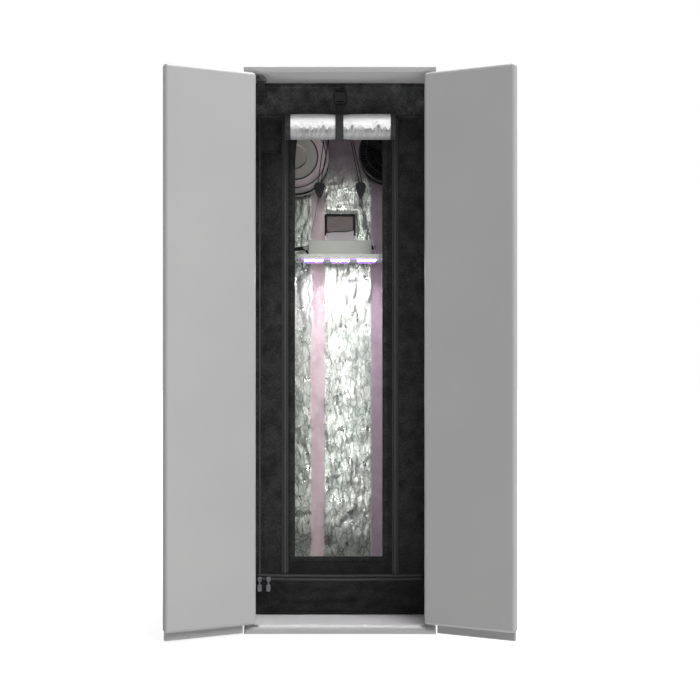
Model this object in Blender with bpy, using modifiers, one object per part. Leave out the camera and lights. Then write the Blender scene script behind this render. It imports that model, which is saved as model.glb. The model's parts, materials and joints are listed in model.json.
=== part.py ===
"""Indoor grow tent inside a two-door cabinet.

A plain cabinet with both doors swung open holds a fabric tent on a tube frame. The tent's front window is
rolled up and strapped. Inside hang a grow lamp on two rope ratchets, a carbon filter with its duct fan, and
a round fan on a clip. All lengths are in metres. The front faces -Y and the floor is at Z = 0.
"""

import math

import bmesh
import bpy
from mathutils import Matrix, Vector

# Clearances and working values shared by all parts
SEAT_GAP = 0.0003  # between pieces that touch
OVERRUN = 0.004  # how far a cutter runs past the face that it cuts
MERGE = 0.00005  # points nearer than this are one point

# Cabinet
CABINET_WIDTH = 0.610
CABINET_DEPTH = 0.610
CABINET_HEIGHT = 1.800
BASE_THICK = 0.030
TOP_THICK = 0.017
SIDE_THICK = 0.025
BACK_THICK = 0.012
BASE_NOSE_RADIUS = 0.0145
PANEL_EDGE_RADIUS = 0.003

# Doors and the pins that they turn on
DOOR_THICK = 0.030
DOOR_GAP = 0.007  # between a side panel's front edge and a closed door
DOOR_MEETING_GAP = 0.003  # between the two closed doors
DOOR_FOOT_GAP = 0.003  # above the base
DOOR_TOP_GAP = 0.0025  # below the top
DOOR_EDGE_RADIUS = 0.011
DOOR_OPEN_DEG = 153.5
LIP_FLOOR_GAP = 0.006
LIP_BASE_GAP = 0.0025  # between the lip of a closed door and the base's front
LIP_OVERLAP = 0.020  # how far the lip runs up into the door
LIP_PIN_GAP = 0.021  # from the pin to the lip's end, so that the lip clears the base as the door opens
LIP_RADIUS = 0.003
PULL_HEIGHT = 0.120
PULL_WIDTH = 0.028
PULL_DEPTH = 0.013
PULL_RADIUS = 0.006
PULL_INSET = 0.030  # from the door's free edge to the recess
PULL_CENTRE_Z = 1.000
DOOR_PIN_INSET = 0.0185  # from the cabinet's side to the pin
DOOR_PIN_RADIUS = 0.004
DOOR_PIN_LENGTH = 0.017
DOOR_PIN_CLEARANCE = 0.0004
PIN_PLATE_RADIUS = 0.009
PIN_PLATE_THICK = 0.0012
PIN_PLATE_REACH = 0.029  # from the pin inwards, in front of the side panel
PIN_PLATE_SETBACK = 0.0015  # from the side panel's front edge

# Tent skin
TENT_RECESS = 0.170  # from the cabinet's front to the tent's front
TENT_SIDE_GAP = 0.001
TENT_BACK_GAP = 0.008
FABRIC_THICK = 0.0012
FABRIC_BULGE = 0.0022  # how far a wall leans in between the frame's tubes
WINDOW_WIDTH = 0.297
WINDOW_SHIFT = -0.0045
WINDOW_SILL_Z = 0.218
WINDOW_HEAD_DROP = 0.143  # drops are measured down from the top panel
WINDOW_SEAM_WIDTH = 0.365  # between the two zips of the window's flap
SKIRT_TOP_Z = 0.154
SKIRT_FOLD = 0.003
SKIRT_HEM = 0.008
FLOOR_PAD_RISE = 0.001  # the stiffened middle of the floor
FLOOR_PAD_GAP = 0.004  # from the pad to the frame
SEAM_DROP = 0.108  # to the seam across the front, level with the top of the roll
SEAM_PROUD = 0.0016
ZIP_PROUD = 0.0014
SIDE_ZIP_PROUD = 0.0011
CROSS_SEAM_PROUD = 0.0008
SEAM_WIDTH = 0.006
FOOT_ZIP_RISE = 0.0125  # between the two zips along the foot
FOOT_ZIP_WIDTH = 0.0045
PIPING_RADIUS = 0.0022

# Tube frame inside the skin
TUBE_RADIUS = 0.008
CONNECTOR_HALF = 0.011
SLEEVE_RADIUS = 0.0105
SLEEVE_LENGTH = 0.045
BAR_RADIUS = 0.007
BAR_RING_RADIUS = 0.0108
BAR_RING_BORE = 0.0086
BAR_RING_LENGTH = 0.022
REAR_BAR_SETBACK = 0.045  # from the filter's back to the bar that carries it

# Rolled window flap, its strap and its buckle
ROLL_RADIUS = 0.0465
ROLL_CORE_RADIUS = 0.012
ROLL_LENGTH = 0.364
ROLL_THICK = 0.0026
ROLL_TURNS = 4.5
ROLL_TURN_STEPS = 16
ROLL_DROP = 0.155
ROLL_TUCK = 0.0025  # how much narrower the roll is where the strap draws it in
STRAP_WIDTH = 0.026
STRAP_THICK = 0.0015
BUCKLE_WIDTH = 0.044
BUCKLE_HEIGHT = 0.049
BUCKLE_THICK = 0.009
BUCKLE_DROP = 0.070
BUCKLE_SLOT = 0.004
BUCKLE_BAR = 0.005
BUCKLE_ARM = 0.006
BUCKLE_ARM_HEIGHT = 0.026
BUCKLE_ROUND = 0.002

# Wire ring at the tent's top left corner and the webbing that holds it
RING_WIDTH = 0.034
RING_HEIGHT = 0.022
RING_WALL_HEIGHT = 0.011
RING_WIRE_RADIUS = 0.0011
RING_SIDE_GAP = 0.026  # from the side panel to the ring's middle
RING_SETBACK = 0.033  # from the cabinet's front
STAPLE_WIDTH = 0.0024
STAPLE_DEPTH = 0.010
STAPLE_HEIGHT = 0.0075
STAPLE_WALL = 0.001
STAPLE_BORE = 0.0026
TAB_WIDTH = 0.026
TAB_THICK = 0.0015
TAB_DROP = 0.004
TAB_SEWN = 0.016

# Zip sliders and their tabs
SLIDER_WIDTH = 0.014
SLIDER_HEIGHT = 0.016
SLIDER_THICK = 0.004
SLIDER_RADIUS = 0.0012
SLIDER_LEFT_INSET = 0.014  # from the tent's left edge
SLIDER_RIGHT_INSET = 0.043
BRIDGE_WIDTH = 0.0095  # over both ears
EAR_THICK = 0.0015
EAR_REACH = 0.0065
EAR_HEIGHT = 0.004
EAR_PIN_RADIUS = 0.0008
PULL_TAB_WIDTH = 0.013
PULL_TAB_NECK = 0.0045
PULL_TAB_LENGTH = 0.036
PULL_TAB_THICK = 0.0018
PULL_TAB_EYE_HALF = 0.0013
PULL_TAB_COLLAR_HALF = 0.0026

# Vent in the tent's back wall and the openings in the cabinet's back
VENT_WIDTH = 0.096
VENT_HEIGHT = 0.063
VENT_DROP = 0.423
VENT_BORDER = 0.007
VENT_GAPS_WIDE = 8
VENT_GAPS_HIGH = 5
NET_STRAND = 0.0022
NET_THICK = 0.0010
FLAP_HEIGHT = 0.030
FLAP_THICK = 0.0010
FLAP_SKEW = 0.008

# Lamp
LAMP_FRONT_GAP = 0.025  # from the tent's front to the plate
PLATE_WIDTH = 0.286
PLATE_DEPTH_SHARE = 0.4762  # of the tent's depth
PLATE_DROP = 0.561
PLATE_EDGE = 0.0135
PLATE_SHEET = 0.002
DRIVER_WIDTH = 0.213
DRIVER_DEPTH = 0.070
DRIVER_HEIGHT = 0.052
DRIVER_RADIUS = 0.002
BOARD_INSET = 0.009
BOARD_THICK = 0.003
LENS_ROWS = 3
LENS_WIDTH = 0.066
LENS_INSET = 0.025  # from the plate's front and back edges
LENS_THICK = 0.014
LENS_ROUND = 0.003
KNOB_RADIUS = 0.0065
KNOB_LENGTH = 0.013
KNOB_RIBS = 10
KNOB_RIB_DEPTH = 0.0008
KNOB_RISE = 0.030  # above the plate
KNOB_POCKET = 0.004
GLAND_RADIUS = 0.0085
GLAND_TIP_RADIUS = 0.0048
GLAND_LENGTH = 0.017
CABLE_RADIUS = 0.0035
CABLE_STRAIGHT = 0.010
CABLE_TURN_RADIUS = 0.0325
CABLE_DROP_RADIUS = 0.0265
CABLE_SAG = 0.006
RATCHET_WIDTH = 0.037
RATCHET_HEIGHT = 0.052
RATCHET_THICK = 0.016
RATCHET_EDGE = 0.002
RATCHET_X = 0.070
RATCHET_DROP = 0.310
RATCHET_EYE_RADIUS = 0.0026
RATCHET_EYE_RISE = 0.008
ROPE_RADIUS = 0.0015
ROPE_STRAND_HALF = 0.0045
ROPE_LEFT_TOP_X = (-0.035, -0.011)
ROPE_RIGHT_TOP_X = (0.004, 0.010)
WIRE_RADIUS = 0.0009
WIRE_FOOT_X = 0.118
WIRE_FOOT_INSET = 0.014

# Carbon filter and duct fan
FILTER_SIDE_GAP = 0.0053  # from the tent's wall
FILTER_DROP = 0.215
FILTER_BEHIND_BAR = 0.040  # from the front bar to the filter's front
FILTER_RADIUS_SHARE = 0.423  # of the tent's half width, to the rim of the flanges
FILTER_FLANGE_STEP = 0.0045
FILTER_FLANGE_LENGTH = 0.012
CAP_THICK = 0.010
CAP_GROOVE_RADIUS = 0.088
CAP_GROOVE_WIDTH = 0.005
CAP_GROOVE_DEPTH = 0.005
CAP_RECESS_RADIUS = 0.041
CAP_RECESS_DEPTH = 0.006
CAP_SLOPE = 0.003
SPIGOT_RADIUS = 0.0600
DUCT_FAN_RADIUS = 0.0720
DUCT_FAN_LENGTH = 0.052
DUCT_FAN_ROOM = 0.098  # from the filter's back to the cabinet's back panel
DUCT_WALL = 0.003
DUCT_HUB_RADIUS = 0.030
DUCT_VANES = 6
DUCT_VANE_THICK = 0.003
DUCT_VANE_LENGTH = 0.020
PORT_CLEARANCE = 0.002
FILTER_STRAP_WIDTH = 0.030
FILTER_STRAP_THICK = 0.0018
FILTER_STRAP_SLACK = 0.0008

# Round fan on a clip
FAN_SIDE_GAP = 0.0068
FAN_DROP = 0.2015
FAN_RADIUS_SHARE = 0.3708  # of the tent's half width
FAN_REACH = 0.130  # from the bar that carries the fan to its front rim
FAN_DEPTH = 0.062
FAN_WALL = 0.0025
GUARD_THICK = 0.0030
GUARD_DOME = 0.008
GUARD_FINS = 44
GUARD_SPOKES = 11
GUARD_OUTER_BAND = 0.007
GUARD_FIN_REACH = 0.029  # from the rim to the fins' inner ends
GUARD_INNER_BAND = 0.004
GUARD_HUB_RADIUS = 0.026
POD_RADIUS = 0.030
POD_LENGTH = 0.040
BLADE_COUNT = 5
BLADE_TIP_GAP = 0.006
BLADE_THICK = 0.002
BLADE_CHORD = 0.022
BLADE_ROOT_DEG = 50
BLADE_TIP_DEG = 24
BLADE_HUB_RADIUS = 0.024
BLADE_HUB_LENGTH = 0.022
SHAFT_RADIUS = 0.003
SHAFT_CLEARANCE = 0.0004
SHAFT_INSERT = 0.015
CLIP_WIDTH = 0.022
CLIP_ARM_THICK = 0.010
CLIP_JAW_RADIUS = 0.0112
CLIP_PIVOT_RADIUS = 0.009
CLIP_CHEEK_THICK = 0.005
PIVOT_PIN_RADIUS = 0.003
PIVOT_CLEARANCE = 0.0004

# Places that follow from the sizes above
HALF_WIDTH = CABINET_WIDTH / 2
FRONT_Y = -CABINET_DEPTH / 2
BACK_Y = CABINET_DEPTH / 2
TOP_UNDER_Z = CABINET_HEIGHT - TOP_THICK
SIDE_FRONT_Y = FRONT_Y + DOOR_THICK / 2 + DOOR_GAP
DOOR_LOW_Z = BASE_THICK + DOOR_FOOT_GAP
DOOR_HIGH_Z = TOP_UNDER_Z - DOOR_TOP_GAP
DOOR_PIN_X = HALF_WIDTH - DOOR_PIN_INSET
INSIDE_X = HALF_WIDTH - SIDE_THICK
BACK_INNER_Y = BACK_Y - BACK_THICK
TENT_X = INSIDE_X - TENT_SIDE_GAP
TENT_FRONT_Y = FRONT_Y + TENT_RECESS
TENT_BACK_Y = BACK_INNER_Y - TENT_BACK_GAP
TENT_LOW_Z = BASE_THICK + SEAT_GAP
TENT_HIGH_Z = TOP_UNDER_Z - SEAT_GAP
SKIN_X = TENT_X - FABRIC_THICK
SKIN_FRONT_Y = TENT_FRONT_Y + FABRIC_THICK
SKIN_BACK_Y = TENT_BACK_Y - FABRIC_THICK
SKIN_LOW_Z = TENT_LOW_Z + FABRIC_THICK
SKIN_HIGH_Z = TENT_HIGH_Z - FABRIC_THICK
FRAME_INSET = CONNECTOR_HALF + SEAT_GAP
POST_X = SKIN_X - FRAME_INSET
POST_FRONT_Y = SKIN_FRONT_Y + FRAME_INSET
POST_BACK_Y = SKIN_BACK_Y - FRAME_INSET
RAIL_LOW_Z = SKIN_LOW_Z + FRAME_INSET
RAIL_HIGH_Z = SKIN_HIGH_Z - FRAME_INSET
WINDOW_HEAD_Z = TOP_UNDER_Z - WINDOW_HEAD_DROP
SEAM_Z = TOP_UNDER_Z - SEAM_DROP
BUCKLE_LOW_Z = TOP_UNDER_Z - BUCKLE_DROP
VENT_CENTRE_Z = TOP_UNDER_Z - VENT_DROP
RING_CENTRE_X = RING_SIDE_GAP - INSIDE_X
RING_Y = FRONT_Y + RING_SETBACK
STAPLE_EYE_Z = TOP_UNDER_Z - STAPLE_HEIGHT + STAPLE_WALL + STAPLE_BORE
FOOT_ZIP_Z = SKIRT_TOP_Z - FOOT_ZIP_WIDTH
FOLD_TOP_Z = FOOT_ZIP_Z - FOOT_ZIP_WIDTH
PIPING_TOP_Z = TENT_HIGH_Z - 2 * SEAM_WIDTH
ROLL_CENTRE_Y = TENT_FRONT_Y - STRAP_THICK - 2 * SEAT_GAP - ROLL_RADIUS
ROLL_CENTRE_Z = TOP_UNDER_Z - ROLL_DROP
SLIDER_LEFT_X = SLIDER_LEFT_INSET - TENT_X
SLIDER_RIGHT_X = SLIDER_RIGHT_INSET - TENT_X
PLATE_DEPTH = PLATE_DEPTH_SHARE * (TENT_BACK_Y - TENT_FRONT_Y)
PLATE_TOP_Z = TOP_UNDER_Z - PLATE_DROP
LENS_DEPTH = PLATE_DEPTH - 2 * LENS_INSET
KNOB_Z = PLATE_TOP_Z + KNOB_RISE
RATCHET_TOP_Z = TOP_UNDER_Z - RATCHET_DROP
LAMP_Y = TENT_FRONT_Y + LAMP_FRONT_GAP + PLATE_DEPTH / 2
FRONT_BAR_Y = LAMP_Y
FILTER_FLANGE_RADIUS = FILTER_RADIUS_SHARE * SKIN_X
FILTER_RADIUS = FILTER_FLANGE_RADIUS - FILTER_FLANGE_STEP
FILTER_X = FILTER_SIDE_GAP + FILTER_FLANGE_RADIUS - SKIN_X
FILTER_Z = TOP_UNDER_Z - FILTER_DROP
FILTER_FRONT_Y = FRONT_BAR_Y + FILTER_BEHIND_BAR
FILTER_BACK_Y = BACK_INNER_Y - DUCT_FAN_ROOM
FILTER_LENGTH = FILTER_BACK_Y - FILTER_FRONT_Y
REAR_BAR_Y = FILTER_BACK_Y - REAR_BAR_SETBACK
FAN_RADIUS = FAN_RADIUS_SHARE * SKIN_X
FAN_X = SKIN_X - FAN_SIDE_GAP - FAN_RADIUS
FAN_Z = TOP_UNDER_Z - FAN_DROP
FAN_FRONT_Y = REAR_BAR_Y - FAN_REACH
GUARD_FIN_INNER = FAN_RADIUS - GUARD_FIN_REACH
FAN_SHELL_Y = FAN_FRONT_Y + GUARD_THICK + SEAT_GAP
FAN_BACK_Y = FAN_SHELL_Y + FAN_DEPTH
POD_END_Y = FAN_BACK_Y + POD_LENGTH

ROUND_SIDES = 12
UPRIGHT = (math.pi / 2, 0, 0)  # turns an outline so that it stands facing the front
TURN_STEPS = 40

# Outline of a rope ratchet, as shares of its width and height from its bottom centre
RATCHET_SHARES = [(-0.10, 0.0), (0.10, 0.0), (0.34, 0.36), (0.50, 0.74), (0.42, 0.93), (0.22, 1.0),
                  (-0.22, 1.0), (-0.42, 0.93), (-0.50, 0.74), (-0.34, 0.36)]

# Outline of a zip slider, as shares of its width and height from the middle of its tail
SLIDER_SHARES = [(-0.34, 0.0), (0.34, 0.0), (0.50, 0.45), (0.50, 0.88), (0.36, 1.0),
                 (-0.36, 1.0), (-0.50, 0.88), (-0.50, 0.45)]


def clear_scene():
    """Empties the file that the script starts in."""
    for old in list(bpy.data.objects):
        bpy.data.objects.remove(old, do_unlink=True)


clear_scene()
PARTS = bpy.data.collections.new("grow_tent")
CUTTERS = bpy.data.collections.new("cutters")
for group in (PARTS, CUTTERS):
    bpy.context.scene.collection.children.link(group)


def finish(name, colour, roughness, metallic=0.0):
    """A plain Principled material with the part's own colour."""
    made = bpy.data.materials.get(name)
    if made is None:
        made = bpy.data.materials.new(name)
        made.use_nodes = True
        shader = made.node_tree.nodes["Principled BSDF"]
        shader.inputs["Base Color"].default_value = (*colour, 1.0)
        shader.inputs["Roughness"].default_value = roughness
        shader.inputs["Metallic"].default_value = metallic
    return made


CABINET_GREY = finish("satin grey paint", (0.56, 0.56, 0.56), 0.45)
STEEL = finish("bright steel", (0.60, 0.60, 0.61), 0.30, 1.0)
BLACK_CLOTH = finish("black cloth", (0.018, 0.018, 0.019), 0.85)
SILVER_CLOTH = finish("silver cloth", (0.72, 0.72, 0.73), 0.25, 0.8)
BLACK_PLASTIC = finish("black plastic", (0.015, 0.015, 0.016), 0.45)
WHITE_TUBE = finish("white frame tube", (0.70, 0.70, 0.70), 0.40)
LAMP_GREY = finish("lamp grey", (0.42, 0.44, 0.41), 0.45, 0.3)
LAMP_GLOW = finish("lamp glow", (0.85, 0.78, 0.95), 0.50)
FILTER_WHITE = finish("filter white", (0.62, 0.60, 0.61), 0.55)
NET_BROWN = finish("brown net", (0.16, 0.12, 0.11), 0.80)
ZIP_GREY = finish("zip grey", (0.28, 0.28, 0.29), 0.35, 0.8)


def add(name, mesh, material, place=(0, 0, 0), turn=None):
    """Puts a mesh in the scene as a named part at its place."""
    part = bpy.data.objects.new(name, mesh)
    mesh.materials.append(material)
    part.location = place
    if turn is not None:
        part.rotation_euler = turn.to_euler()
    PARTS.objects.link(part)
    return part


def as_guide(part):
    """Moves a part to the cutters, which shape other parts and are no parts themselves."""
    PARTS.objects.unlink(part)
    CUTTERS.objects.link(part)
    part.hide_render = True
    part.display_type = "WIRE"
    return part


def combine(part, others, operation):
    """Cuts the others out of a part, or joins them to it."""
    for other in others:
        step = part.modifiers.new(operation.lower(), "BOOLEAN")
        step.operation = operation
        step.solver = "EXACT"
        step.object = as_guide(other)
    return part


def cut(part, *others):
    return combine(part, others, "DIFFERENCE")


def unite(part, *others):
    return combine(part, others, "UNION")


def round_edges(part, width, segments=2, angle_deg=40):
    """Rounds the sharp edges of a part."""
    step = part.modifiers.new("round edges", "BEVEL")
    step.width = width
    step.segments = segments
    step.limit_method = "ANGLE"
    step.angle_limit = math.radians(angle_deg)
    return part


def smooth(mesh, angle_deg=35):
    mesh.shade_smooth()
    mesh.set_sharp_from_angle(angle=math.radians(angle_deg))


def box(name, low, high, material, radius=0.0, segments=2):
    """A box between two corners, with rounded edges where a radius is given."""
    low, high = Vector(low), Vector(high)
    mesh = bpy.data.meshes.new(name)
    shape = bmesh.new()
    bmesh.ops.create_cube(shape, size=1)
    bmesh.ops.scale(shape, vec=high - low, verts=shape.verts)
    shape.to_mesh(mesh)
    shape.free()
    part = add(name, mesh, material, (low + high) / 2)
    if radius > 0:
        round_edges(part, radius, segments)
    return part


def rod(name, start, end, radius, material, sides=ROUND_SIDES, end_radius=None):
    """A round bar, or a cone, from one point to another."""
    start, end = Vector(start), Vector(end)
    mesh = bpy.data.meshes.new(name)
    shape = bmesh.new()
    bmesh.ops.create_cone(shape, cap_ends=True, segments=sides, radius1=radius,
                          radius2=radius if end_radius is None else end_radius,
                          depth=(end - start).length)
    shape.to_mesh(mesh)
    shape.free()
    smooth(mesh)
    turn = Vector((0, 0, 1)).rotation_difference(end - start)
    return add(name, mesh, material, (start + end) / 2, turn.to_matrix())


def turned(name, profile, place, axis, material, steps=TURN_STEPS, closed=False):
    """A turned piece: a profile of (radius, height) points swept round the axis by a Screw modifier."""
    mesh = bpy.data.meshes.new(name)
    count = len(profile)
    links = [(i, i + 1) for i in range(count - 1)]
    if closed:
        links.append((count - 1, 0))
    mesh.from_pydata([(radius, 0, height) for radius, height in profile], links, [])
    turn = Vector((0, 0, 1)).rotation_difference(Vector(axis))
    part = add(name, mesh, material, place, turn.to_matrix())
    screw = part.modifiers.new("turn", "SCREW")
    screw.steps = steps
    screw.render_steps = steps
    screw.use_merge_vertices = True
    screw.merge_threshold = MERGE
    return part


def tube_path(name, points, radius, material, closed=False, resolution=2):
    """A wire, rope or cable of one radius along a row of points."""
    data = bpy.data.curves.new(name, "CURVE")
    data.dimensions = "3D"
    data.bevel_depth = radius
    data.bevel_resolution = resolution
    data.use_fill_caps = not closed
    line = data.splines.new("POLY")
    line.points.add(len(points) - 1)
    for spot, point in zip(line.points, points):
        spot.co = (*point, 1)
    line.use_cyclic_u = closed
    part = bpy.data.objects.new(name, data)
    data.materials.append(material)
    PARTS.objects.link(part)
    return part


def as_mesh(part):
    """Turns a curve part into a mesh with welded caps, so that it can be cut or joined."""
    bpy.context.view_layer.update()
    seen = part.evaluated_get(bpy.context.evaluated_depsgraph_get())
    mesh = bpy.data.meshes.new_from_object(seen)
    shape = bmesh.new()
    shape.from_mesh(mesh)
    bmesh.ops.remove_doubles(shape, verts=shape.verts, dist=MERGE)
    bmesh.ops.recalc_face_normals(shape, faces=shape.faces)
    shape.to_mesh(mesh)
    shape.free()
    name = part.name
    place = part.matrix_world.copy()
    bpy.data.objects.remove(part, do_unlink=True)
    made = bpy.data.objects.new(name, mesh)
    made.matrix_world = place
    PARTS.objects.link(made)
    return made


def outline(name, points, thick, place, turn, material):
    """A flat plate of one thickness with the given outline."""
    data = bpy.data.curves.new(name, "CURVE")
    data.dimensions = "2D"
    data.fill_mode = "BOTH"
    data.extrude = thick / 2
    line = data.splines.new("POLY")
    line.points.add(len(points) - 1)
    for spot, (across, up) in zip(line.points, points):
        spot.co = (across, up, 0, 1)
    line.use_cyclic_u = True
    part = bpy.data.objects.new(name, data)
    data.materials.append(material)
    part.location = place
    part.rotation_euler = turn
    PARTS.objects.link(part)
    return as_mesh(part)


def sheet(name, columns, rows, point, thick, material, kept=None, loop=False):
    """A thin piece on a grid of columns and rows, given its thickness by Solidify.

    point(column, row) gives the place of a grid point on the outer face; kept(i, j) says whether the
    grid has a face between columns i and i + 1 and rows j and j + 1. A loop joins the last column to the first.
    """
    mesh = bpy.data.meshes.new(name)
    shape = bmesh.new()
    grid = [[shape.verts.new(point(a, b)) for b in rows] for a in columns]
    width = len(columns)
    for i in range(width if loop else width - 1):
        for j in range(len(rows) - 1):
            if kept is None or kept(i, j):
                right = grid[(i + 1) % width]
                shape.faces.new((grid[i][j], right[j], right[j + 1], grid[i][j + 1]))
    loose = [spot for spot in shape.verts if not spot.link_faces]
    bmesh.ops.delete(shape, geom=loose, context="VERTS")
    bmesh.ops.remove_doubles(shape, verts=shape.verts, dist=MERGE)
    shape.to_mesh(mesh)
    shape.free()
    smooth(mesh)
    part = add(name, mesh, material)
    wall = part.modifiers.new("thickness", "SOLIDIFY")
    wall.thickness = thick
    wall.offset = -1
    return part


def spaced(low, high, count):
    """Evenly spaced values from low to high, both included."""
    return [low + (high - low) * i / count for i in range(count + 1)]


def arc(centre, radius, start_deg, end_deg, count):
    """Points of a circular arc in a plane, as pairs."""
    return [(centre[0] + radius * math.cos(math.radians(angle)),
             centre[1] + radius * math.sin(math.radians(angle)))
            for angle in spaced(start_deg, end_deg, count)]


def pivot(name, place, axis_turn_deg=0.0):
    """An empty on a joint's axis, turned about Z, which carries the moving pieces."""
    empty = bpy.data.objects.new(name, None)
    empty.location = place
    empty.rotation_euler = (0, 0, math.radians(axis_turn_deg))
    bpy.context.scene.collection.objects.link(empty)
    return empty


def carry(empty, *parts):
    """Parents parts, and what shapes them, to an empty without moving them before it turns."""
    back = Matrix.Translation(-empty.location)
    for part in parts:
        part.parent = empty
        part.matrix_parent_inverse = back
        for step in part.modifiers:
            if step.type == "BOOLEAN" and step.object.parent is None:
                carry(empty, step.object)


def make_carcass():
    """The cabinet's base, top, sides and back."""
    base = box("base_panel", (-HALF_WIDTH, FRONT_Y, 0), (HALF_WIDTH, BACK_Y, BASE_THICK), CABINET_GREY)
    round_front_edges(base, BASE_NOSE_RADIUS)
    top = box("top_panel", (-HALF_WIDTH, FRONT_Y, TOP_UNDER_Z), (HALF_WIDTH, BACK_Y, CABINET_HEIGHT),
              CABINET_GREY, PANEL_EDGE_RADIUS)
    add_ring_staple(top)
    low_z, high_z = BASE_THICK + SEAT_GAP, TOP_UNDER_Z - SEAT_GAP
    for name, side in (("left_side_panel", -1), ("right_side_panel", 1)):
        inner, outer = sorted((side * INSIDE_X, side * HALF_WIDTH))
        box(name, (inner, SIDE_FRONT_Y, low_z), (outer, BACK_Y, high_z), CABINET_GREY, PANEL_EDGE_RADIUS)
    back = box("back_panel", (-INSIDE_X + SEAT_GAP, BACK_INNER_Y, low_z),
               (INSIDE_X - SEAT_GAP, BACK_Y, high_z), CABINET_GREY)
    cut_back_openings(back, BACK_INNER_Y, BACK_Y)


def cut_back_openings(wall, near_y, far_y):
    """Cuts the round duct port and the oblong vent through a wall between two depths."""
    low_y, high_y = near_y - OVERRUN, far_y + OVERRUN
    port = rod("port_hole", (FILTER_X, low_y, FILTER_Z), (FILTER_X, high_y, FILTER_Z),
               SPIGOT_RADIUS + PORT_CLEARANCE, CABINET_GREY, TURN_STEPS)
    vent = box("vent_hole", (-VENT_WIDTH / 2, low_y, VENT_CENTRE_Z - VENT_HEIGHT / 2),
               (VENT_WIDTH / 2, high_y, VENT_CENTRE_Z + VENT_HEIGHT / 2), CABINET_GREY)
    cut(wall, port, vent)


def add_ring_staple(top):
    """The small staple under the top panel that the tent's corner ring hangs in."""
    half, deep = STAPLE_WIDTH / 2, STAPLE_DEPTH / 2
    staple = box("staple", (RING_CENTRE_X - half, RING_Y - deep, TOP_UNDER_Z - STAPLE_HEIGHT),
                 (RING_CENTRE_X + half, RING_Y + deep, TOP_UNDER_Z + TOP_THICK / 2), STEEL)
    eye = rod("staple_eye", (RING_CENTRE_X - STAPLE_WIDTH, RING_Y, STAPLE_EYE_Z),
              (RING_CENTRE_X + STAPLE_WIDTH, RING_Y, STAPLE_EYE_Z), STAPLE_BORE, STEEL)
    unite(top, staple)
    cut(top, eye)


def round_front_edges(part, radius):
    """Rounds only the edges of a panel's front face."""
    mesh = part.data
    weights = mesh.attributes.new("bevel_weight_edge", "FLOAT", "EDGE")
    for edge in mesh.edges:
        ends = [mesh.vertices[i].co for i in edge.vertices]
        weights.data[edge.index].value = 1.0 if all(end.y < 0 for end in ends) else 0.0
    step = part.modifiers.new("bullnose", "BEVEL")
    step.width = radius
    step.segments = 5
    step.limit_method = "WEIGHT"


def door_slab(name, side):
    """A closed door between base and top: slab, a lip in front of the base and a finger recess outside."""
    outer_y, inner_y = FRONT_Y - DOOR_THICK / 2, FRONT_Y + DOOR_THICK / 2
    low_x, high_x = sorted((side * HALF_WIDTH, side * DOOR_MEETING_GAP / 2))
    door = box(name, (low_x, outer_y, DOOR_LOW_Z), (high_x, inner_y, DOOR_HIGH_Z), CABINET_GREY,
               DOOR_EDGE_RADIUS, 4)
    free_x = side * DOOR_MEETING_GAP / 2
    lip_x = sorted((free_x + side * DOOR_EDGE_RADIUS / 2, side * (DOOR_PIN_X - LIP_PIN_GAP)))
    lip = box(name + "_lip", (lip_x[0], outer_y + SEAT_GAP, LIP_FLOOR_GAP),
              (lip_x[1], FRONT_Y - LIP_BASE_GAP, DOOR_LOW_Z + LIP_OVERLAP), CABINET_GREY, LIP_RADIUS, 3)
    unite(door, lip)
    near_x, far_x = sorted((free_x + side * PULL_INSET, free_x + side * (PULL_INSET + PULL_WIDTH)))
    recess = box(name + "_recess", (near_x, outer_y - OVERRUN - PULL_RADIUS, PULL_CENTRE_Z - PULL_HEIGHT / 2),
                 (far_x, outer_y + PULL_DEPTH, PULL_CENTRE_Z + PULL_HEIGHT / 2), CABINET_GREY, PULL_RADIUS, 3)
    cut(door, recess)
    for panel_z, way in ((TENT_LOW_Z, 1), (TENT_HIGH_Z, -1)):
        bore_end_z = panel_z + way * (DOOR_PIN_LENGTH + SEAT_GAP)
        bore = rod(name + "_bore", (side * DOOR_PIN_X, FRONT_Y, panel_z), (side * DOOR_PIN_X, FRONT_Y, bore_end_z),
                   DOOR_PIN_RADIUS + DOOR_PIN_CLEARANCE, CABINET_GREY)
        cut(door, bore)
    return door


def door_pivot(name, side, panel_z, way):
    """A pin on a flat bracket that lies on the base (way 1) or under the top (way -1)."""
    x, plate_z, pin_z = side * DOOR_PIN_X, panel_z + way * PIN_PLATE_THICK, panel_z + way * DOOR_PIN_LENGTH
    plate_x = sorted((side * (DOOR_PIN_X - PIN_PLATE_REACH), side * (DOOR_PIN_X + PIN_PLATE_RADIUS)))
    low_z, high_z = sorted((panel_z, plate_z))
    bracket = box(name, (plate_x[0], FRONT_Y + SEAT_GAP, low_z),
                  (plate_x[1], SIDE_FRONT_Y - PIN_PLATE_SETBACK, high_z), STEEL)
    front = rod(name + "_front", (x, FRONT_Y, panel_z), (x, FRONT_Y, plate_z), PIN_PLATE_RADIUS, STEEL, TURN_STEPS)
    pin = rod(name + "_pin", (x, FRONT_Y, panel_z), (x, FRONT_Y, pin_z), DOOR_PIN_RADIUS, STEEL)
    unite(bracket, front, pin)
    return bracket


def make_doors():
    """Two doors on pins at their top and foot, each shown swung open about its pins."""
    for word, side in (("left", -1), ("right", 1)):
        door_pivot(word + "_foot_pivot", side, TENT_LOW_Z, 1)
        door_pivot(word + "_top_pivot", side, TENT_HIGH_Z, -1)
        door = door_slab(word + "_door", side)
        axis = pivot(word + "_door_axis", Vector((side * DOOR_PIN_X, FRONT_Y, 0)), side * DOOR_OPEN_DEG)
        carry(axis, door)


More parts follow.
